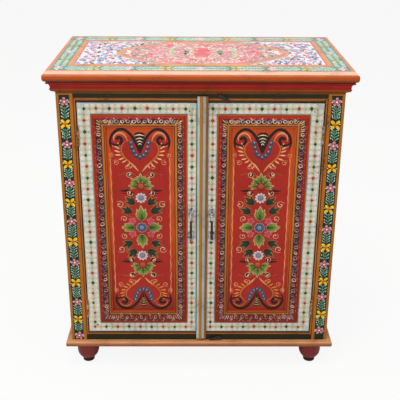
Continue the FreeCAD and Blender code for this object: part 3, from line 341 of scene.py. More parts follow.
def forgedIron(name, pull=None):
    finish, tree, spot = newFinish(name)
    shader = tree.nodes["Principled BSDF"]
    pits = noise(tree, spot, iron["pit"], 6.0)
    colour = mixColours(tree, rescale(tree, pits, 0.45, 0.7), iron["black"], iron["rust"])
    shader.inputs["Metallic"].default_value = iron["metal"]
    if pull:
        low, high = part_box(pull)
        wood, middle = high[1], (low[2] + high[2]) / 2
        plateStart, plateEnd = [wood - v * mm for v in overpaint["plate"]]
        barStart, barEnd = [middle + v * mm for v in overpaint["bar"]]
        onPlate = rescale(tree, axis(tree, spot, 1), plateStart, plateEnd)
        area = combine(tree, "MAXIMUM", onPlate, rescale(tree, axis(tree, spot, 2), barStart, barEnd))
        amount = combine(tree, "MULTIPLY_ADD", area, 0.4, noise(tree, spot, overpaint["patch"]))
        holds = rescale(tree, amount, 0.8, 0.84)
        paint = mixColours(tree, rescale(tree, pits, 0.4, 0.62), overpaint["pale"], overpaint["violet"])
        colour = mixColours(tree, holds, colour, paint)
        tree.links.new(rescale(tree, holds, 0, 1, iron["metal"], 0), shader.inputs["Metallic"])
    tree.links.new(colour, shader.inputs["Base Color"])
    tree.links.new(rescale(tree, pits, 0, 1, 0.42, 0.72), shader.inputs["Roughness"])
    bump = addNode(tree, "Bump", {"Height": pits, "Strength": 0.5, "Distance": 0.3 * mm}).outputs[0]
    tree.links.new(bump, shader.inputs["Normal"])
    return finish


for side in ("left", "right"):
    dress(forgedIron(f"forged iron, overpainted, {side} pull", f"{side}_door_pull"), f"{side}_door_pull")
dress(forgedIron("forged iron"), "turn_button_top", "turn_button_bottom", "turn_button_washers",
      "turn_button_screws", "left_door_pull_screws", "right_door_pull_screws", "left_door_leaf_screws",
      "right_door_leaf_screws", "frame_leaf_screws")

# hinges under the same paint as what lies beside them, dirty and chipped: umber, orange and a little cream
hingePaint = {"patch": 8, "stops": ((0.0, "#221C18"), (0.42, "#5E3E22"), (0.52, "#8A5A2C"), (0.6, "#9A927E"))}
finish, tree, spot = newFinish("wrought iron hinges, daubed with house paint")
ramp = addNode(tree, "ValToRGB", {"Fac": noise(tree, spot, hingePaint["patch"], 2.0)})
stops = ramp.color_ramp.elements
for place, hexColour in hingePaint["stops"]:
    stops.new(place).color = linearColour(hexColour)
stops.remove(stops[-1])
varnishPaint(tree, spot, ramp.outputs[0], gloss=0.4)
ends = [(side, end) for side in ("left", "right") for end in ("top", "bottom")]
dress(finish, "hinge_pins", *[f"hinge_frame_leaf_{side}_{end}" for side, end in ends],
      *[f"{side}_door_hinge_leaf_{end}" for side, end in ends])
print("iron done")

# the painter's colours: one for the root of a dab and one for its tip, laid on thick enough to stand proud
pigments = {
    "rose": ("#9E4A5C", "#DE98A4"), "white": ("#CFC4BE", "#EEE6DE"), "lilac": ("#4A425E", "#7C7490"),
    "yellow": ("#D0A012", "#EEC82C"), "tangerine": ("#B0500A", "#D2741A"), "mint": ("#44785A", "#92C0A4"),
    "frost": ("#A8CEBC", "#E2F0E8"), "leaf": ("#1C4214", "#828E38"), "pine": ("#141C16", "#2C3828"),
    "cream": ("#C8A076", "#EBD6B2"), "blush": ("#C08A84", "#E8CABE"), "gold": ("#A45E1A", "#DEA04A"),
    "umber": ("#1C0E0E", "#2C1614"), "steel": ("#101C30", "#22364E"), "sky": ("#5C88AC", "#B8CEDA"),
    "salmon": ("#9E2A38", "#D05C68"), "ruby": ("#6E1612", "#983020"), "coral": ("#C24C58", "#DE7078"),
    "shell": ("#CC8084", "#D8949A"), "moss": ("#4A5628", "#969A50"), "red": ("#98241E", "#BE3A30"),
    "grass": ("#10361A", "#2A6030"), "straw": ("#94803C", "#C6B46A"), "lobe": ("#B6B298", "#DEDACE"),
    "slate": ("#6E7A70", "#98A296"), "azure": ("#2E6CA0", "#8CBCDC"), "denim": ("#222F42", "#4A6074"),
    "blossom": ("#C08090", "#F0CED4"), "primrose": ("#BC9C40", "#E6CC74"), "plume": ("#C47C38", "#EAC694"),
    "ember": ("#84300E", "#BC5E28"), "apricot": ("#CA865C", "#DEA076"), "ivory": ("#E2CAA2", "#EEDDC0"),
    "dusk": ("#96665C", "#BC9088"), "sage": ("#8EA076", "#BEC69C"), "mauve": ("#8E6894", "#D0AACC"),
    "pearl": ("#96868A", "#E4D8CE"),
}
finishes = {}


def pigment(name):
    # artist's oil colour, a blend from the dab's root to its tip along its own UV map
    if name not in finishes:
        finish, tree, spot = newFinish(f"artist's oil paint, {name}")
        along = addNode(tree, "SeparateXYZ", {0: addNode(tree, "TexCoord").outputs["UV"]}).outputs[1]
        varnishPaint(tree, spot, mixColours(tree, along, *pigments[name]), gloss=0.36, age=0.4, shine=0.2)
        finishes[name] = finish
    return finishes[name]


def chooseOnly(piece):
    bpy.ops.object.select_all(action="DESELECT")
    piece.select_set(True)
    bpy.context.view_layer.objects.active = piece


# a dab's shape is (length, width, points, sharp, thick), in mm but for the count and the sharpness of its tip
dabForm = {"tip": 0.97, "slope": 0.2, "step": 0.5}  # shares of its length, width and thickness


def dab(length, width, points, sharp, thick):
    # one touch of the brush, lying flat with its root at the origin and its tip up the page
    bpy.ops.object.select_all(action="DESELECT")
    bpy.ops.mesh.primitive_circle_add(vertices=points, radius=0.5, fill_type="NGON", calc_uvs=True)
    piece = bpy.context.object
    bpy.ops.object.mode_set(mode="EDIT")
    bpy.ops.transform.resize(value=(width * mm, length * mm, 1))
    bpy.ops.transform.translate(value=(0, length * mm / 2, 0))
    if sharp:
        bpy.ops.mesh.select_all(action="DESELECT")
        shape = bmesh.from_edit_mesh(piece.data)
        for vert in shape.verts:
            vert.select = vert.co.y > length * mm * dabForm["tip"]
        bmesh.update_edit_mesh(piece.data)
        bpy.ops.transform.translate(value=(0, length * mm * sharp, 0))
        bpy.ops.mesh.select_all(action="SELECT")
    wall, crown = thick * mm * dabForm["step"], thick * mm * (1 - dabForm["step"])
    bpy.ops.mesh.extrude_region_move(TRANSFORM_OT_translate={"value": (0, 0, wall)})
    bpy.ops.mesh.inset(thickness=width * mm * dabForm["slope"], depth=crown)
    bpy.ops.mesh.select_all(action="SELECT")
    bpy.ops.mesh.normals_make_consistent(inside=False)
    bpy.ops.object.mode_set(mode="OBJECT")
    return piece


def finishLayer(layer, name, colour, coat, face=None):
    # a layer of paint gets its colour and its body; on a moulded face it is pressed down on to it first
    layer.name = layer.data.name = name
    layer.data.materials.clear()
    layer.data.materials.append(pigment(colour))
    if face:
        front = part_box(face)[0][1]
        for vert in layer.data.vertices:
            hit, spot = nodes[face].ray_cast((vert.co.x, -1, vert.co.z), (0, 1, 0))[:2]
            if hit:
                vert.co.y += spot.y - front
    bpy.ops.object.mode_set(mode="EDIT")
    bpy.ops.mesh.select_all(action="SELECT")
    bpy.ops.mesh.normals_make_consistent(inside=False)
    bpy.ops.object.mode_set(mode="OBJECT")
    bpy.ops.object.shade_smooth_by_angle(angle=radians(50))
    body, slot = coat
    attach(layer, body)


def paintDabs(name, shape, places, colour, coat, face=None):
    # one copy of a modelled dab at each place, each with its own mesh, joined as one layer of paint
    model = dab(*shape)
    copies = []
    for place in places:
        copy = model.copy()
        copy.data = model.data.copy()
        copy.matrix_world = place
        bpy.context.collection.objects.link(copy)
        copies.append(copy)
    bpy.data.objects.remove(model)
    bpy.ops.object.select_all(action="DESELECT")
    for copy in copies:
        copy.select_set(True)
    bpy.context.view_layer.objects.active = copies[0]
    if len(copies) > 1:
        bpy.ops.object.join()
    bpy.ops.object.transform_apply(location=True, rotation=True, scale=True)
    finishLayer(bpy.context.object, name, colour, coat, face)


def outlined(name, shape, places, colour, rimColour, coat, rim):
    # dabs laid over slightly larger ones, whose colour is left as a thin outline
    length, width, points, sharp, thick = shape
    under = [place @ Matrix.Translation((0, -rim * mm, -thick * mm * 0.3)) for place in places]
    wide = (length + 2 * rim, width + 2 * rim, points, sharp, thick)
    paintDabs(f"{name}_outlines", wide, under, rimColour, coat)
    paintDabs(name, shape, places, colour, coat)


def brushLines(name, ways, page, colour, coat, flat=0.12, fine=2, face=None):
    # drawn lines: each way is a list of (x, up, width) in mm, laid flat on the page
    line = bpy.data.curves.new(name, "CURVE")
    line.dimensions = "3D"
    line.bevel_depth = mm
    line.bevel_resolution = fine - 1
    line.use_fill_caps = True
    line.resolution_u = fine
    for way in ways:
        spline = line.splines.new("NURBS")
        spline.points.add(len(way) - 1)
        for point, (x, up, width) in zip(spline.points, way):
            point.co = (x * mm, up * mm, 0, 1)
            point.radius = width / 2
        spline.order_u = 3
        spline.use_endpoint_u = True
    piece = bpy.data.objects.new(name, line)
    bpy.context.collection.objects.link(piece)
    chooseOnly(piece)
    bpy.ops.object.convert(target="MESH")
    piece = bpy.context.object
    piece.matrix_world = page @ Matrix.Diagonal((1, 1, flat, 1))
    bpy.ops.object.transform_apply(location=True, rotation=True, scale=True)
    finishLayer(piece, name, colour, coat, face)


def upright(y):  # a page stood up against a front face
    return Matrix.Translation((0, y, 0)) @ Matrix.Rotation(pi / 2, 4, "X")


def at(page, x, up, turn=0.0, size=1.0, lift=0.0):  # a place on a page, mm and degrees
    place = page @ Matrix.Translation((x * mm, up * mm, lift * mm))
    return place @ Matrix.Rotation(radians(turn), 4, "Z") @ Matrix.Diagonal((size, size, 1, 1))


def ring(page, x, up, count, start=0.0, size=1.0, lift=0.0, out=0.0):  # petals round a centre
    turns = [start + 360 / count * step for step in range(count)]
    return [at(page, x - sin(radians(t)) * out, up + cos(radians(t)) * out, t, size, lift) for t in turns]


def curl(x, up, radius, start, hand, width, turns, points, wind):
    # a tendril that winds in and thickens to a round end: the lower the wind, the longer it keeps its radius
    way = []
    for step in range(points):
        share = step / (points - 1)
        angle = radians(start) + hand * share * turns * 2 * pi
        reach = radius * (1 - share) ** wind
        way.append((x + cos(angle) * reach, up + sin(angle) * reach, width * (0.5 + 0.9 * share)))
    return way


def turnedOver(x, up):  # the quarters that a motif is drawn in: one on a middle line isn't turned over it
    return [(wayX, wayUp) for wayX in ((-1, 1) if x else (1,)) for wayUp in ((-1, 1) if up else (1,))]


def loose(amount):  # the small slips of a hand
    return random.uniform(-amount, amount)


# flowers up the posts: rose and yellow by turns, with pairs of mint leaves on a stem between them
postFlowers = {
    "left": (767, 710, 656, 603, 551, 498, 444, 384, 322, 260, 200, 146, 94),
    "right": (767, 709, 654, 594, 539, 479, 422, 368, 318, 266, 216, 162, 110),
    "x": 333.5, "clear": 16, "pairPitch": 7.4, "leafDrop": 3, "centreLift": 0.35,
    "kinds": (  # petals, how many, their turn, its slip and way out; then the centre and its drop
        ("roses", 5, 0, 12, 2.6, "eyes", 2.8), ("yellow_flowers", 4, 45, 6, 2.5, "hearts", 4.5),
    ),
    "berries": (11, 2),  # how far out and down
    "leaves": (1.4, 36), "outer": (7.6, 26, 4),  # how far out, the lean, and how far above the inner leaves
    "shapes": {  # what each layer is made of and its colour
        "roses": ((9.5, 7.5, 8, 0, 0.3), "rose"), "yellow_flowers": ((12.5, 8, 10, 0, 0.3), "yellow"),
        "leaves": ((8.6, 2.5, 6, 0.1, 0.3), "mint"), "outer_leaves": ((5.4, 1.9, 6, 0.1, 0.3), "frost"),
        "berries": ((3.4, 3.4, 6, 0, 0.3), "frost"), "eyes": ((5.5, 5.5, 10, 0, 0.3), "white"),
        "hearts": ((9, 7, 10, 0, 0.3), "tangerine"),
    },
}
postPage = upright(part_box("post_left")[0][1])
postCoat = ("carcass", "green_paint")
berryOut, berryDrop = postFlowers["berries"]
leafOut, leafLean = postFlowers["leaves"]
outerOut, outerLean, outerRise = postFlowers["outer"]
for side, sign in (("left", -1), ("right", 1)):
    layers = {name: [] for name in postFlowers["shapes"]}
    stems = []
    heights = postFlowers[side]
    for number, height in enumerate(heights):
        up, x = height + loose(1), sign * postFlowers["x"] + loose(0.8)
        petals, count, turn, slip, out, centre, drop = postFlowers["kinds"][number % 2]
        layers[petals] += ring(postPage, x, up, count, turn + loose(slip), 1 + loose(0.08), out=out)
        layers[centre].append(at(postPage, x, up - drop, lift=postFlowers["centreLift"]))
        for away in (-berryOut, berryOut):
            layers["berries"].append(at(postPage, x + away, up - berryDrop + loose(4)))
        if number + 1 < len(heights):
            low, high = heights[number + 1] + postFlowers["clear"], up - postFlowers["clear"]
            stems.append([(x, high + 3, 1.0), (x + loose(1), (low + high) / 2, 1.2), (x, low, 1.0)])
            count = round((high - low) / postFlowers["pairPitch"])
            for pair in range(count + 1):
                level = low + (high - low) / count * pair - postFlowers["leafDrop"]
                for way in (-1, 1):
                    turn, size = -way * (leafLean + loose(8)), 1 + loose(0.15)
                    leafX, leafUp = x + way * leafOut + loose(0.4), level + loose(0.6)
                    layers["leaves"].append(at(postPage, leafX, leafUp, turn, size))
                    leafX, leafUp = x + way * outerOut + loose(0.5), level + outerRise + loose(1)
                    turn = -way * (outerLean + loose(12))
                    layers["outer_leaves"].append(at(postPage, leafX, leafUp, turn))
    for label, (shape, colour) in postFlowers["shapes"].items():
        paintDabs(f"post_{side}_{label}", shape, layers[label], colour, postCoat)
    brushLines(f"post_{side}_stems", stems, postPage, "mint", postCoat, fine=1)
print("posts flowered")

# the door frames' running pattern: red, green and straw lozenges set in cream lobes and grey lines
frameRun = {
    "step": 15.2, "clear": 1.2, "line": 1.1, "sizes": (11, 8),  # lozenge lengths: coloured, straw
    "lobeRim": 0.5, "lozengeLift": 0.3,
    "shapes": {
        "lobes": ((11.6, 12.8, 8, 0, 0.2), "lobe"),
        "red_lozenges": ((11, 10, 4, 0, 0.3), "red"), "green_lozenges": ((11, 10, 4, 0, 0.3), "grass"),
        "straw_lozenges": ((8, 7.4, 4, 0, 0.3), "straw"),
    },
}
framePage = upright(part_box("left_door_hinge_stile")[0][1])
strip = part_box("right_door_astragal")
thin = frameRun["line"]
lobeReach = frameRun["shapes"]["lobes"][0][0] + frameRun["lobeRim"]
for side in ("left", "right"):
    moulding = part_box(f"{side}_door_panel_moulding")
    door = [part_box(f"{side}_door_{part}") for part in ("hinge_stile", "meeting_stile")]
    edges = sorted(corner[0] for box in door for corner in box)
    outer = (edges[0] if side == "left" else strip[1][0], edges[3])
    x0, x1 = [(outer[k] + moulding[k][0]) / 2 / mm for k in (0, 1)]
    z0, z1 = [(door[0][k][2] + moulding[k][2]) / 2 / mm for k in (0, 1)]
    roomX = [abs(outer[k] - moulding[k][0]) / 2 / mm for k in (0, 1)]
    roomZ = [abs(door[0][k][2] - moulding[k][2]) / 2 / mm for k in (0, 1)]
    marks = {name: [] for name in frameRun["shapes"]}
    lines = []
    runs = [  # start, end, the colour that leads and half the wood's width
        ((x0, z1), (x1, z1), 0, roomZ[1]), ((x0, z0), (x1, z0), 1, roomZ[0]),
        ((x0, z1), (x0, z0), 0, roomX[0]), ((x1, z1), (x1, z0), 1, roomX[1]),
    ]
    for number, ((xa, za), (xb, zb), lead, room) in enumerate(runs):
        reach = room - frameRun["clear"]
        stretch = Matrix.Diagonal((1, reach / lobeReach, 1, 1))  # the lobes fill the wood's width
        length = hypot(xb - xa, zb - za)
        alongX, alongZ = (xb - xa) / length, (zb - za) / length
        acrossX, acrossZ = alongZ * reach, alongX * reach
        count = round(length / frameRun["step"])
        step = length / count
        lines.append([(xa, za, thin), (xb, zb, thin)])
        for k in range(count + 1):
            x, z = xa + alongX * step * k, za + alongZ * step * k
            if number < 2 or 0 < k < count:
                kind = "straw" if k % 2 else ("green", "red")[(k // 2 + lead) % 2]
                rootX, rootZ = x + loose(0.8), z - frameRun["sizes"][k % 2] / 2 + loose(0.8)
                place = at(framePage, rootX, rootZ, loose(7), 1 + loose(0.12), frameRun["lozengeLift"])
                marks[f"{kind}_lozenges"].append(place)
                lines.append([(x - acrossX, z - acrossZ, thin), (x + acrossX, z + acrossZ, thin)])
            if k < count:
                midX, midZ = x + alongX * step / 2, z + alongZ * step / 2
                heading = degrees(atan2(alongZ, alongX))
                for turn in (heading, heading + 180):
                    rootX, rootZ = midX + loose(0.6), midZ + loose(0.6)
                    lobe = at(framePage, rootX, rootZ, turn + loose(5), 1 + loose(0.05))
                    marks["lobes"].append(lobe @ stretch)
    coat = (f"door_{side}", "door_paint")
    for label, (shape, colour) in frameRun["shapes"].items():
        name = f"{side}_frame_{label}"
        if label == "lobes":
            outlined(name, shape, marks[label], colour, "slate", coat, frameRun["lobeRim"])
        else:
            paintDabs(name, shape, marks[label], colour, coat)
    brushLines(f"{side}_frame_lines", lines, framePage, "slate", coat, flat=0.8, fine=1)
print("door frames patterned")

# the mouldings' dark band: a running wave of curls, with fans of dabs raying out at the corners
scrollRun = {
    "middle": 18.2, "clear": 36,
    "bands": {  # the curls' pitch, radius, line and colours
        "top": (13.4, 6, 2, ("white", "blush", "sky", "ivory", "blush")),
        "sides": (16.6, 5.4, 2, ("dusk", "blush", "dusk", "lilac", "slate")),
        "foot": (13, 4.4, 1.5, ("dusk", "ember", "ember")),
    },
    "winding": (1.3, 14, 0.25),
    "leaves": ((6.4, 5, 60), (8, 2.6, 25)), "dots": (3, 9.5),  # ahead of the curl, aside, the leaves' lean
    "fan": (16, 2.6, 6, 0.12, 0.35), "comma": (6, 2.6, 6, 0.1, 0.3), "dot": (2.4, 2.4, 6, 0, 0.3),
    "fans": 7, "fanPitch": 5.2, "fanRoot": 25, "fanLean": 42, "fanClosing": 6, "fanShrinking": 0.05,
}
for side in ("left", "right"):
    face, coat = f"{side}_door_panel_moulding", (f"door_{side}", "moulding_paint")
    low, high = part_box(face)
    page = upright(low[1])
    x0, x1, z0, z1 = low[0] / mm, high[0] / mm, low[2] / mm, high[2] / mm
    middle, clear = scrollRun["middle"], scrollRun["clear"]
    scrolls, commas, dots, fans = {}, {"blush": [], "dusk": []}, [], {"plume": [], "dusk": []}
    bands = [(True, z1 - middle, -1, "top"), (True, z0 + middle, 1, "foot"),
             (False, x0 + middle, 1, "sides"), (False, x1 - middle, -1, "sides")]
    for alongX, level, inward, band in bands:
        start, end = (x0 + clear, x1 - clear) if alongX else (z0 + clear, z1 - clear)
        pitch, radius, thick, colours = scrollRun["bands"][band]
        beside = {"top": commas["blush"], "foot": commas["dusk"], "sides": dots}[band]
        dotAhead, dotAside = scrollRun["dots"]
        outside = -dotAside * inward if alongX else dotAside * inward
        count = round((end - start) / pitch)
        for k in range(count + 1):
            place = start + (end - start) / count * k
            x, z = [v + loose(0.8) for v in ((place, level) if alongX else (level, place))]
            colour, hand = colours[k % len(colours)], 1 if k % 2 else -1
            turn = (180 if alongX else 270) + loose(20)
            way = curl(x, z, radius + loose(0.9), turn, hand, thick, *scrollRun["winding"])
            scrolls.setdefault(colour, []).append(way[:-1])  # the curl's middle is left open
            touches = [(beside, ahead, aside * hand, lean) for ahead, aside, lean in scrollRun["leaves"]]
            for group, ahead, aside, lean in (*touches, (dots, dotAhead, outside, 0)):
                awayX, awayZ = (ahead, aside) if alongX else (-aside, ahead)
                turn = (-90 if alongX else 0) + hand * lean + loose(12)
                rootX, rootZ = x + awayX + loose(0.8), z + awayZ + loose(0.8)
                group.append(at(page, rootX, rootZ, turn, 1 + loose(0.2)))
    root = scrollRun["fanRoot"]
    for wayX, cornerX in ((-1, x0 + root), (1, x1 - root)):
        for wayZ, cornerZ in ((-1, z0 + root), (1, z1 - root)):
            spread = fans["plume" if wayZ > 0 else "dusk"]
            for k in range(scrollRun["fans"]):
                away, lean = k * scrollRun["fanPitch"], scrollRun["fanLean"] - k * scrollRun["fanClosing"]
                size = 1 - k * scrollRun["fanShrinking"]
                upDown = -wayX * lean if wayZ > 0 else 180 + wayX * lean
                sideways = -wayX * (90 - wayZ * lean)
                besideX, besideZ = cornerX - wayX * away, cornerZ - wayZ * away
                spread.append(at(page, besideX, cornerZ, upDown + loose(5), size + loose(0.1)))
                spread.append(at(page, cornerX, besideZ, sideways + loose(5), size + loose(0.1)))
    for colour, ways in scrolls.items():
        brushLines(f"{side}_moulding_{colour}_scrolls", ways, page, colour, coat, 0.35, 1, face)
    paintDabs(f"{side}_moulding_dots", scrollRun["dot"], dots, "dusk", coat, face)
    for label, groups in (("comma", commas), ("fan", fans)):
        for colour, places in groups.items():
            paintDabs(f"{side}_moulding_{colour}_{label}s", scrollRun[label], places, colour, coat, face)
print("mouldings scrolled")

# the panels: volutes and a feathered heart at each end, and leaves and flowers climbing the middle
# each motif is drawn for the upper right quarter, in mm from the blue flower, and turned over for the others
# a line's points are (across, up, width), a dab (across, up, turn, size), a curl (across, up, radius, start)
panelArt = {
    "across": 86,  # half the width that the motifs are drawn for
    "middle": 13,  # how far the blue flower lies under the panel's centre
    "rise": 0.975, "settle": 3000,  # heights are drawn to this share, and the foot still a little shorter
    "volutes": [
        [(1.5, 212, 2), (6, 228, 5), (13, 248, 7.5), (24, 266, 8), (40, 279, 8), (56, 278, 8.5), (70, 266, 8),
         (77, 250, 7), (77, 236, 6), (73, 222, 1.5)],
        [(77, 244, 4), (69, 236, 6), (57, 234, 6.5), (47, 241, 7.5), (46, 253, 9), (55, 259, 9.5),
         (61, 250, 8)],
    ],
    "shine": [
        [(31, 246, 1.2), (35, 260, 3.4), (47, 270, 4.6), (61, 267, 4.2), (69, 255, 3), (66, 246, 1.4)],
        [(52, 228, 1), (63, 228, 2.6), (72, 234, 1.2)],
    ],
    "cone": [(214, 1.5), (226, 8), (238, 15), (250, 22), (260, 29), (267, 27), (270, 14)],  # (up, width)
    "lowCone": 0.62,
    "arcs": [(262, 13), (253, 10), (245, 7), (238, 4)],  # (up, half the reach)
    "arcForm": {"bow": 3.5, "drop": 2, "width": 3.2, "taper": 2.4, "low": 0.8},
    "hearts": [
        [(24, 250, 0.8), (34, 248, 1.2), (45, 238, 1.6), (50, 224, 2.4), (46, 208, 2.8), (34, 194, 2.4),
         (22, 184, 2.2), (12, 174, 1.6), (6, 165, 1)],
    ],
    "heartTips": [[(30, 190, 0.8), (21, 182, 3.6), (13, 173, 5.2), (5, 162, 0.8)]],
    "feathers": [
        (51, 232, -36, 0.9), (52, 224, -58, 1.1), (50, 216, -74, 1.2), (47, 208, -92, 1.2),
        (41, 200, -108, 1.2), (34, 194, -124, 1.1), (26, 187, -140, 1.1), (19, 181, -146, 0.9),
    ],
    "grapes": [(0, 202), (10.5, 207), (17.5, 217), (21.5, 229), (24, 241)], "grapeLight": 1.5,
    "curls": [(29, 153, 8, 200), (29, 101, 8, 160)], "spirals": [(57, 68, 10.5, 30), (47, 26, 9, 300)],
    "tinyCurls": [(34, 175, 7.5, 100), (63, 187, 8.5, 60), (76, 208, 7, 120)],
    "windings": {  # each group's line, turns, points and winding in
        "curls": (1.4, 0.95, 9, 0.15), "spirals": (1.6, 1.15, 9, 0.4), "tinyCurls": (1.5, 1.3, 9, 0.55),
    },
    "tendrils": [
        [(6, 146, 1), (16, 152, 1.4), (26, 162, 1.2)], [(12, 22, 0.8), (28, 34, 1.3), (40, 36, 1)],
        [(34, 66, 0.8), (48, 78, 1.5), (60, 76, 1)], [(24, 56, 0.8), (34, 54, 1.2), (46, 58, 0.8)],
        [(36, 158, 0.8), (46, 156, 1.3), (58, 152, 0.8)],
    ],
    "stems": [
        [(16, 98, 1), (25, 105, 4.5), (38, 109, 7.5), (49, 106, 5.6), (58, 109, 1)],
        [(32, 101, 1), (42, 98, 4), (52, 101, 1)],
    ],
    "palmette": [(0, 131, 0, 0.96), (7, 127, -46, 0.9), (10, 120, -86, 0.84)],
    "tulips": [(0, 21, 0, 1.45), (20, 1, -88, 1.2)],
    "pine": [(17, 68, -46, 1.12), (26, 44, -64, 1.15)],
    "threeLobes": ((0, 1), (27, 0.8), (-27, 0.8)),  # how a leaf's blades swing and shrink
    "fiveLobes": ((-38, 0.6), (38, 0.6), (-20, 0.82), (20, 0.82), (0, 1)),
    "pinks": (25, 19), "balls": [(0, 119)],
    "bigFlowers": (
        ("middle", 0, 1, "denim", "sky"), ("upper", 87, 1, "pearl", "lilac"),
        ("lower", 87, -1, "pearl", "lilac"),
    ),
    "wave": {"in": 8, "reach": 198, "step": 8, "sway": 1.2, "width": 2.2, "swell": 0.9},
}
panelShapes = {
    "feather": (12, 3.4, 8, 0.15, 0.3), "grape": (12.2, 9.4, 12, 0, 0.3), "grapeLight": (4.2, 3, 8, 0, 0.3),
    "blade": (24, 9, 8, 0.16, 0.3), "vein": (13, 3.2, 8, 0.2, 0.25), "pine": (24, 10.5, 8, 0.22, 0.3),
    "petal": (8.5, 6.4, 8, 0, 0.3), "eye": (12, 12, 12, 0, 0.3), "speck": (3, 1.8, 6, 0, 0.3),
    "pink": (8.5, 6.4, 8, 0, 0.3), "ball": (15, 14, 12, 0, 0.4), "ballRing": (23, 22, 14, 0, 0.2),
    "comma": (7.5, 3.8, 8, 0.1, 0.3), "curlGround": (12, 11, 10, 0, 0.15),
}
for side in ("left", "right"):
    centreX, centreZ, halfX, halfZ = panelBoxes[side]
    page = upright(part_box(f"{side}_door_panel")[0][1] + 0.02 * mm)
    middleZ = centreZ - panelArt["middle"]
    wide = halfX / panelArt["across"]
    coat = (f"door_{side}", "panel_paint")

    def quarter(x, up, wayX, wayZ):
        shorter = 1 if wayZ > 0 else 1 - up / panelArt["settle"]
        return centreX + wayX * x * wide, middleZ + wayZ * up * panelArt["rise"] * shorter

    def drawn(lines, halves=(-1, 1), thinner=0.96):
        turned = [way for way in turnedOver(1, 1) if way[1] in halves]
        return [[(*quarter(x, up, *way), width * thinner) for x, up, width in line]
                for line in lines for way in turned]

    def placed(spots, lift, blades=((0, 1),), halves=(-1, 1)):
        made = []
        for x, up, turn, size in spots:
            for wayX, wayZ in [way for way in turnedOver(x, up) if way[1] in halves]:
                px, pz = [v + loose(0.6) for v in quarter(x, up, wayX, wayZ)]
                lean, grown = turn * wayX + loose(3), size * (1 + loose(0.06))
                for number, (swing, share) in enumerate(blades):
                    heading = lean + swing if wayZ > 0 else 180 - lean - swing
                    made.append(at(page, px, pz, heading, grown * share, lift + number * 0.02))
        return made

    def drops(spots, shape, lift):  # round dabs centred on their spots
        length = panelShapes[shape][0]
        spread = [quarter(x, up, *way) for x, up in spots for way in turnedOver(x, up)]
        return [at(page, x + loose(0.5), z + loose(0.5) - length / 2, lift=lift) for x, z in spread]

    def strokes(label, lines, colour, flat, lift=0.0):
        brushLines(f"{side}_panel_{label}", lines, at(page, 0, 0, lift=lift), colour, coat, flat)

    def touches(label, shape, places, colour):
        paintDabs(f"{side}_panel_{label}", panelShapes[shape], places, colour, coat)

    def rimmed(label, shape, places, colour, rimColour, rim):
        outlined(f"{side}_panel_{label}", panelShapes[shape], places, colour, rimColour, coat, rim)

    # dark cones between the volutes, then the volutes, the pale arcs on the cones and the hearts
    cones = [[(*quarter(0, up, 1, way), width * share) for up, width in panelArt["cone"]]
             for way, share in ((-1, panelArt["lowCone"]), (1, 1))]
    strokes("cones", cones, "umber", 0.03)
    strokes("volutes", drawn(panelArt["volutes"]), "umber", 0.16)
    strokes("shine", drawn(panelArt["shine"], (1,)), "apricot", 0.2)
    strokes("low_shine", drawn(panelArt["shine"], (-1,), 0.5), "gold", 0.3)
    form = panelArt["arcForm"]
    for label, way, share, colour in (("arcs", 1, 1, "ivory"), ("low_arcs", -1, form["low"], "straw")):
        arcs = []
        for height, reach in panelArt["arcs"]:
            arc = []
            for along in (-1, -0.5, 0, 0.5, 1):
                up = height - form["drop"] + form["bow"] * (1 - along * along)
                width = form["width"] - form["taper"] * abs(along)
                arc.append((*quarter(along * reach * share, up, 1, way), width))
            arcs.append(arc)
        strokes(label, arcs, colour, 0.2, 0.5)
    strokes("hearts", drawn(panelArt["hearts"]), "gold", 0.2)
    strokes("heart_tips", drawn(panelArt["heartTips"]), "plume", 0.2, 0.15)
    for label, way, colour in (("feathers", 1, "plume"), ("low_feathers", -1, "gold")):
        touches(label, "feather", placed(panelArt["feathers"], 0.1, halves=(way,)), colour)
    rimmed("grapes", "grape", drops(panelArt["grapes"], "grape", 0.1), "denim", "steel", 0.8)
    beside = panelArt["grapeLight"]
    lights = [(x - beside if x else 0, up + beside) for x, up in panelArt["grapes"]]
    touches("grape_lights", "grapeLight", drops(lights, "grapeLight", 0.42), "sky")

    # stems, curls with a comma of cream in each, and leaves with a pale edge and a dark heart
    strokes("stems", drawn(panelArt["stems"]), "umber", 0.2)
    strokes("tendrils", drawn(panelArt["tendrils"]), "moss", 0.25)
    grounds, commas, wound = [], [], {group: [] for group in panelArt["windings"]}
    for group, winding in panelArt["windings"].items():
        for x, up, radius, start in panelArt[group]:
            for wayX, wayZ in turnedOver(x, up):
                px, pz = quarter(x, up, wayX, wayZ)
                angle = (start if wayX > 0 else 180 - start) * wayZ + loose(25)
                wound[group].append(curl(px, pz, radius, angle, wayX * wayZ, *winding))
                if group == "curls":
                    grounds.append(at(page, px, pz - radius * 0.75, size=radius / 8, lift=0.05))
                    commas.append(at(page, px - 1, pz - 4, loose(50), radius / 8, 0.3))
    touches("curl_grounds", "curlGround", grounds, "umber")
    for group, colour in (("curls", "cream"), ("spirals", "cream"), ("tinyCurls", "plume")):
        strokes(group, wound[group], colour, 0.5, 0.2)
    touches("commas", "comma", commas, "cream")
    three, five = panelArt["threeLobes"], panelArt["fiveLobes"]
    rimmed("pine_leaves", "pine", placed(panelArt["pine"], 0.12, three), "pine", "gold", 0.7)
    leaves = placed(panelArt["palmette"][::-1], 0.2, three) + placed(panelArt["tulips"], 0.2, five)
    rimmed("leaves", "blade", leaves, "leaf", "cream", 0.7)
    touches("leaf_hearts", "vein", placed(panelArt["palmette"] + panelArt["tulips"], 0.55), "grass")

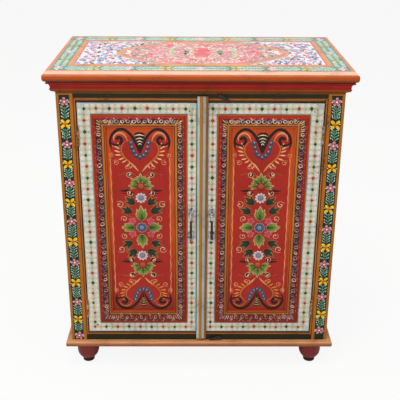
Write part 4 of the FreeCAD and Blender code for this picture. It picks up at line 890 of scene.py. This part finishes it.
    # flowers: a blue one in the middle, white ones above and below, pink ones at its corners, orange balls
    pinks = []
    for way in turnedOver(1, 1):
        pinks += ring(page, *quarter(*panelArt["pinks"], *way), 5, loose(30), lift=0.3, out=1.6)
    rimmed("pink_flowers", "pink", pinks, "salmon", "shell", 0.35)
    for label, up, wayZ, colour, rimColour in panelArt["bigFlowers"]:
        px, pz = quarter(0, up, 1, wayZ)
        petals = ring(page, px, pz, 10, loose(10), lift=0.5, out=6)
        rimmed(f"{label}_flower", "petal", petals, colour, rimColour, 0.5)
        eye = at(page, px, pz - panelShapes["eye"][0] / 2, lift=0.75)
        touches(f"{label}_flower_eye", "eye", [eye], "lilac")
        touches(f"{label}_flower_specks", "speck", ring(page, px, pz, 7, lift=1.0, out=1.5), "sky")
    touches("ball_rings", "ballRing", drops(panelArt["balls"], "ballRing", 0.3), "ruby")
    touches("balls", "ball", drops(panelArt["balls"], "ball", 0.5), "ember")

    # the wandering pale line down each side
    wave = panelArt["wave"]
    steps = int(2 * wave["reach"] / wave["step"])
    waves = []
    for way in (-1, 1):
        edge, low = centreX + way * (halfX - wave["in"]), middleZ - wave["reach"]
        waves.append([(edge + wave["sway"] * sin(k * 1.9), low + k * wave["step"],
                       wave["width"] + wave["swell"] * sin(k * 1.3)) for k in range(steps + 1)])
    strokes("waves", waves, "apricot", 0.3)
print("panels painted")

# the top's border: flowers at even steps, and chevrons of pale leaves that point to the middle of each side
topPage = Matrix.Translation((0, 0, topHeight))
topCoat = ("carcass", "top_paint")
border = {
    "across": 8, "deep": 4,  # steps from corner to corner
    "clear": 15, "step": 8, "spread": 48, "petalOut": 2,
    "drawnFor": 46,  # mm, the border's width that the dabs are drawn for
    "petals": {  # turn and size
        "rose": ((0, 1.1), (180, 1.1), (55, 0.75), (-55, 0.75), (125, 0.75), (-125, 0.75)),
        "arm": ((38, 1), (-38, 1), (142, 1), (-142, 1)),
    },
    "shapes": {
        "leaf": ((22, 3.8, 6, 0.08, 0.08), "frost"), "rose": ((15, 8.5, 8, 0, 0.1), "blossom"),
        "arm": ((20, 9, 8, 0, 0.1), "primrose"), "eye": ((8, 6, 8, 0, 0.12), "white"),
        "heart": ((8, 7, 8, 0, 0.12), "moss"),
    },
}
outer, inner = topPaint["borderOuter"], topPaint["borderInner"]
sideX, frontY, backY = [(a + b) / 2 for a, b in zip(outer, inner)]
deepWidth, frontWidth, backWidth = [abs(a - b) for a, b in zip(outer, inner)]
runs = [  # start, end, steps, width
    ((-sideX, frontY), (sideX, frontY), border["across"], frontWidth),
    ((-sideX, backY), (sideX, backY), border["across"], backWidth),
    ((-sideX, frontY), (-sideX, backY), border["deep"], deepWidth),
    ((sideX, frontY), (sideX, backY), border["deep"], deepWidth),
]
flowers = {name: [] for name in border["shapes"]}
for number, ((xa, ya), (xb, yb), count, width) in enumerate(runs):
    length = hypot(xb - xa, yb - ya) / count
    alongX, alongY = (xb - xa) / (length * count), (yb - ya) / (length * count)
    swing = border["spread"] if alongX else -border["spread"]
    for k in range(count + 1):
        x, y = xa + (xb - xa) * k / count, ya + (yb - ya) * k / count
        if number < 2 or 0 < k < count:
            kind, centre = ("rose", "eye") if k % 2 == 0 else ("arm", "heart")
            for turn, size in border["petals"][kind]:
                px, py, away = x + loose(0.6), y + loose(0.6), turn + loose(5)
                root = at(topPage, px, py, away, size * width / border["drawnFor"], 0.03)
                flowers[kind].append(root @ Matrix.Translation((0, border["petalOut"] * mm, 0)))
            flowers[centre].append(at(topPage, x, y - border["shapes"][centre][0][0] / 2, lift=0.04))
        if k < count:
            growth = 1 if k < count / 2 else -1
            heading = degrees(atan2(-alongX * growth, alongY * growth))
            for step in range(int((length - 2 * border["clear"]) / border["step"]) + 1):
                away = border["clear"] + step * border["step"]
                for way in (-1, 1):
                    px, py = x + alongX * away + alongY * way, y + alongY * away + alongX * way
                    turn = heading + way * growth * swing + loose(4)
                    size = width / border["drawnFor"] * (1 + loose(0.08))
                    flowers["leaf"].append(at(topPage, px, py, turn, size))
for label, (shape, colour) in border["shapes"].items():
    paintDabs(f"top_border_{label}s", shape, flowers[label], colour, topCoat)

# the ogee medallion: a shell-pink ground inside an apricot line with a mossy edge, drawn for a quarter of it
medallion = {
    "centre": (8, 16),
    "outline": [  # mm from its centre
        (227, 0), (221, 21), (212, 40), (200, 56), (183, 72), (164, 91), (144, 107), (127, 120), (108, 131),
        (60, 136), (0, 136),
    ],
    "lines": (("shadow", "moss", 17, 0.01), ("line", "apricot", 12, 0.04)),  # colour, width and flatness
    "calm": (24, 58),  # half the size of the plain core
}
mx, my = medallion["centre"]


def insideMedallion(x, y, margin):
    across = max(0, abs(x - mx) + margin)
    for (xa, ya), (xb, yb) in zip(medallion["outline"], medallion["outline"][1:]):
        if xb <= across <= xa:
            return abs(y - my) + margin < ya + (yb - ya) * (xa - across) / (xa - xb)
    return False


upper = [(mx + x, my + y) for x, y in medallion["outline"]]
upper += [(mx - x, my + y) for x, y in medallion["outline"][-2::-1]]
lower = [(x, 2 * my - y) for x, y in upper]
rim = upper + lower[-2:0:-1]
ground = bpy.data.curves.new("top_medallion_ground", "CURVE")
ground.dimensions = "2D"
ground.fill_mode = "FRONT"
spline = ground.splines.new("POLY")
spline.points.add(len(rim) - 1)
for point, (x, y) in zip(spline.points, rim):
    point.co = (x * mm, y * mm, 0, 1)
spline.use_cyclic_u = True
piece = bpy.data.objects.new("top_medallion_ground", ground)
bpy.context.collection.objects.link(piece)
chooseOnly(piece)
bpy.ops.object.convert(target="MESH")
piece = bpy.context.object
piece.matrix_world = at(topPage, 0, 0, lift=0.02)
bpy.ops.object.transform_apply(location=True, rotation=True, scale=True)
finishLayer(piece, "top_medallion_ground", "shell", topCoat)
for label, colour, width, flat in medallion["lines"]:
    lines = [[(x, y, width) for x, y in half] for half in (upper, lower)]
    brushLines(f"top_medallion_{label}", lines, topPage, colour, topCoat, flat)

# the white field round it: vines, and sprigs of a strong petal, a pale one, a drop, a bud and a leaf
sprigs = {
    "step": (21, 25), "edge": 9, "sideEdge": 5, "reach": 22,
    "corners": [  # spots in the narrow corners by the medallion
        (-146, -108), (-130, -113), (162, -108), (146, -113),
        (-146, 140), (-130, 146), (162, 140), (146, 146),
    ],
    "turns": (8, 188),
    "petals": ("navy_petals", "blue_petals", "mauve_petals", "blue_petals", "mauve_petals"), "petalDrop": -8,
    "beside": (  # across, up and swing
        ("pale_petals", 6, 0, 40), ("drops", -6, 6, -38), ("buds", 5, -9, 28), ("leaves", -4, -7, -80),
    ),
    "shapes": {
        "blue_petals": ((25, 11, 8, 0.1, 0.12), "azure"), "navy_petals": ((22, 9, 8, 0.1, 0.12), "denim"),
        "mauve_petals": ((24, 11, 8, 0.1, 0.12), "mauve"), "pale_petals": ((17, 8.5, 8, 0.1, 0.12), "sky"),
        "drops": ((18, 7.5, 6, 0, 0.12), "blossom"), "buds": ((12, 6, 6, 0, 0.12), "salmon"),
        "leaves": ((11, 4.5, 6, 0.15, 0.12), "mint"),
    },
}
halfField, fieldFront, fieldBack = topPaint["field"]
sprays = {name: [] for name in sprigs["shapes"]}
rows = int((fieldBack - fieldFront - 2 * sprigs["edge"]) / sprigs["step"][1])
columns = int((2 * halfField - 2 * sprigs["sideEdge"]) / sprigs["step"][0])
spots = list(sprigs["corners"])
for row in range(rows + 1):
    for column in range(columns + 1):
        x = -halfField + sprigs["sideEdge"] + (column + (row % 2) / 2) * sprigs["step"][0] + loose(3)
        y = fieldFront + sprigs["edge"] + row * sprigs["step"][1] + loose(3)
        if not insideMedallion(x, y, -5) and abs(x) < halfField - sprigs["sideEdge"]:
            spots.append((x, y))
for number, (x, y) in enumerate(spots):
    turn = random.choice(sprigs["turns"]) + loose(28)
    petal = (sprigs["petals"][number % 5], 0, sprigs["petalDrop"], 0)
    for label, dx, dy, swing in (petal, *sprigs["beside"]):
        heading = radians(turn + swing)
        for size in (1, -1, 0.5, -0.5):  # turned about or made short where it would run over the lines
            reach = sprigs["reach"] * size
            endX, endY = x + dx - reach * sin(heading), y + dy + reach * cos(heading)
            inField = abs(endX) < halfField and fieldFront < endY < fieldBack
            if inField and not insideMedallion(endX, endY, -2):
                away = turn + swing + (0 if size > 0 else 180)
                sprays[label].append(at(topPage, x + dx, y + dy, away, abs(size) * (1 + loose(0.15))))
                break
for label, (shape, colour) in sprigs["shapes"].items():
    paintDabs(f"top_field_{label}", shape, sprays[label], colour, topCoat)

vine = {"step": 21, "rise": 12, "width": 3.6, "sway": 9, "drift": 1.2, "edge": 6, "clear": 4}
vines = []
for start in range(int(-halfField), int(halfField), vine["step"]):
    way = []
    for step in range(int((fieldBack - fieldFront) / vine["rise"])):
        x = start + vine["sway"] * sin(step * 1.1 + start) - step * vine["drift"]
        y = fieldFront + vine["edge"] + step * vine["rise"]
        if abs(x) < halfField - vine["clear"] and not insideMedallion(x, y, -10):
            way.append((x, y, vine["width"]))
        elif len(way) > 2:
            vines.append(way)
            way = []
    if len(way) > 2:
        vines.append(way)
brushLines("top_field_vines", vines, topPage, "coral", topCoat, 0.08, 1)

# inside the medallion, each motif for a quarter: shape, colour, lift, and (across, up, turn, size) in mm
medallionArt = {
    "patches": ((46, 28, 10, 0, 0.05), "coral", 0.02,
                [(92, 66, -10, 1.0), (38, 82, 70, 0.95), (128, 10, -70, 0.7), (56, 124, -80, 0.6)]),
    "core": ((60, 44, 12, 0, 0.05), "coral", 0.03, [(0, 0, 0, 1.0)]),
    "ring_petals": ((22, 11, 8, 0.1, 0.07), "cream", 0.04,
                    [(24, 10, -80, 0.9), (24, 28, -66, 0.9), (20, 44, -46, 1), (12, 56, -24, 1),
                     (0, 60, 0, 1.1)]),
    "greys": ((34, 17, 8, 0.1, 0.07), "slate", 0.065,
              [(40, 0, -14, 0.9), (50, 0, 6, 0.8), (150, 34, -20, 1), (176, 20, -20, 0.9), (186, 34, 20, 0.7),
               (120, 96, -70, 0.9)]),
    "arcs": ((30, 14, 8, 0.1, 0.07), "sage", 0.06,
             [(84, 0, -8, 1), (86, 24, 6, 1), (80, 46, 24, 0.9), (162, 8, -5, 0.8), (14, 110, -74, 0.7)]),
    "tips": ((24, 15, 10, 0.1, 0.07), "white", 0.075, [(196, 0, -22, 0.9)]),
}
flecks = {  # small touches all over it: shape, colour and how many
    "coral": ((12, 6, 6, 0, 0.06), 130), "slate": ((11, 4.6, 6, 0.1, 0.065), 250),
    "white": ((10, 4.4, 6, 0.1, 0.075), 430), "sage": ((10, 3.6, 6, 0.1, 0.07), 170),
    "blossom": ((11, 4, 6, 0.1, 0.07), 220),
}
fleckTurns, fleckClear, fleckLift = (0, 40, -40, 180, 90), 10, 0.06
for label, (shape, colour, lift, motifs) in medallionArt.items():
    places = []
    for x, y, turn, size in motifs:
        for wayX, wayY in turnedOver(x, 1):
            lean = turn * wayX if wayY > 0 else 180 - turn * wayX
            px, py = mx + wayX * x + loose(1), my + wayY * y + loose(1)
            places.append(at(topPage, px, py, lean + loose(6), size, lift))
    paintDabs(f"top_medallion_{label}", shape, places, colour, topCoat)
calmX, calmY = medallion["calm"]
for colour, (shape, count) in flecks.items():
    places = []
    while len(places) < count:
        x, y = mx + loose(medallion["outline"][0][0]), my + loose(medallion["outline"][-1][1])
        calm = hypot((x - mx) / calmX, (y - my) / calmY) < 1
        if insideMedallion(x, y, fleckClear) and not calm:
            turn = random.choice(fleckTurns) + loose(20)
            places.append(at(topPage, x, y, turn, 1 + loose(0.25), fleckLift))
    paintDabs(f"top_medallion_{colour}_flecks", shape, places, colour, topCoat)
print("top flowered")

# the camera that was fitted to the photo: its place in mm, its turn in degrees, its lens and sensor in mm
cameraView = {
    "place": (-17.6, -1919.5, 1268.0), "turn": (68.516, -0.333, -0.431), "lens": 65.47, "shiftY": -0.08,
    "sensor": 36, "reach": 50,  # it sees as far as this, m
}
turn = [radians(v) for v in cameraView["turn"]]
bpy.ops.object.camera_add(location=[v * mm for v in cameraView["place"]], rotation=turn)
camera = bpy.context.object
camera.data.lens = cameraView["lens"]
camera.data.sensor_width = cameraView["sensor"]
camera.data.shift_y = cameraView["shiftY"]
camera.data.clip_end = cameraView["reach"]
bpy.context.scene.camera = camera

# a plain pale floor that the camera sees nearly white, with the object's shadow left on it
bpy.ops.mesh.primitive_plane_add(size=12, location=(0, 2, 0))
floor = bpy.context.object
floor.name = "floor"
bpy.ops.object.transform_apply(location=True, rotation=True, scale=True)
finish, tree, spot = newFinish("matt white paper sweep")
shader = tree.nodes["Principled BSDF"]
shader.inputs["Base Color"].default_value = linearColour("#D8D6D2")
shader.inputs["Roughness"].default_value = 0.9
glow = addNode(tree, "Emission", {"Color": "#FFFFFF", "Strength": 1.0}).outputs[0]
seen = addNode(tree, "LightPath").outputs["Is Camera Ray"]
share = combine(tree, "MULTIPLY", seen, 0.9)  # how nearly white it looks to the camera
blend = addNode(tree, "MixShader", {0: share, 1: shader.outputs[0], 2: glow}).outputs[0]
tree.links.new(blend, tree.nodes["Material Output"].inputs["Surface"])
floor.data.materials.append(finish)

world = bpy.data.worlds.new("soft studio")
bpy.context.scene.world = world
world.use_nodes = True
tree = world.node_tree
path = addNode(tree, "LightPath")
seen = combine(tree, "MAXIMUM", path.outputs["Is Camera Ray"], path.outputs["Is Glossy Ray"])
background = tree.nodes["Background"]
background.inputs["Color"].default_value = (1, 1, 1, 1)
tree.links.new(rescale(tree, seen, 0, 1, 0.4, 1.0), background.inputs["Strength"])

# soft lamps: most of the light falls from above, so that edges shade downwards as in the photograph
aim = 0.45  # the height that they point at, m
lamps = {
    "skylight": {"place": (-0.3, -0.5, 3.0), "size": 2.0, "power": 62},
    "window": {"place": (-1.5, -2.6, 2.2), "size": 1.6, "power": 47},
    "fill": {"place": (1.9, -2.2, 1.6), "size": 2.2, "power": 16},
}
for name, lamp in lamps.items():
    bpy.ops.object.light_add(type="AREA", location=lamp["place"])
    light = bpy.context.object
    light.name = name
    light.data.size = lamp["size"]
    light.data.energy = lamp["power"]
    x, y, z = lamp["place"]
    light.rotation_euler = (atan2(hypot(x, y), z - aim), 0, atan2(x, -y))
bpy.context.scene.view_settings.view_transform = "Standard"
print("camera and lights set")
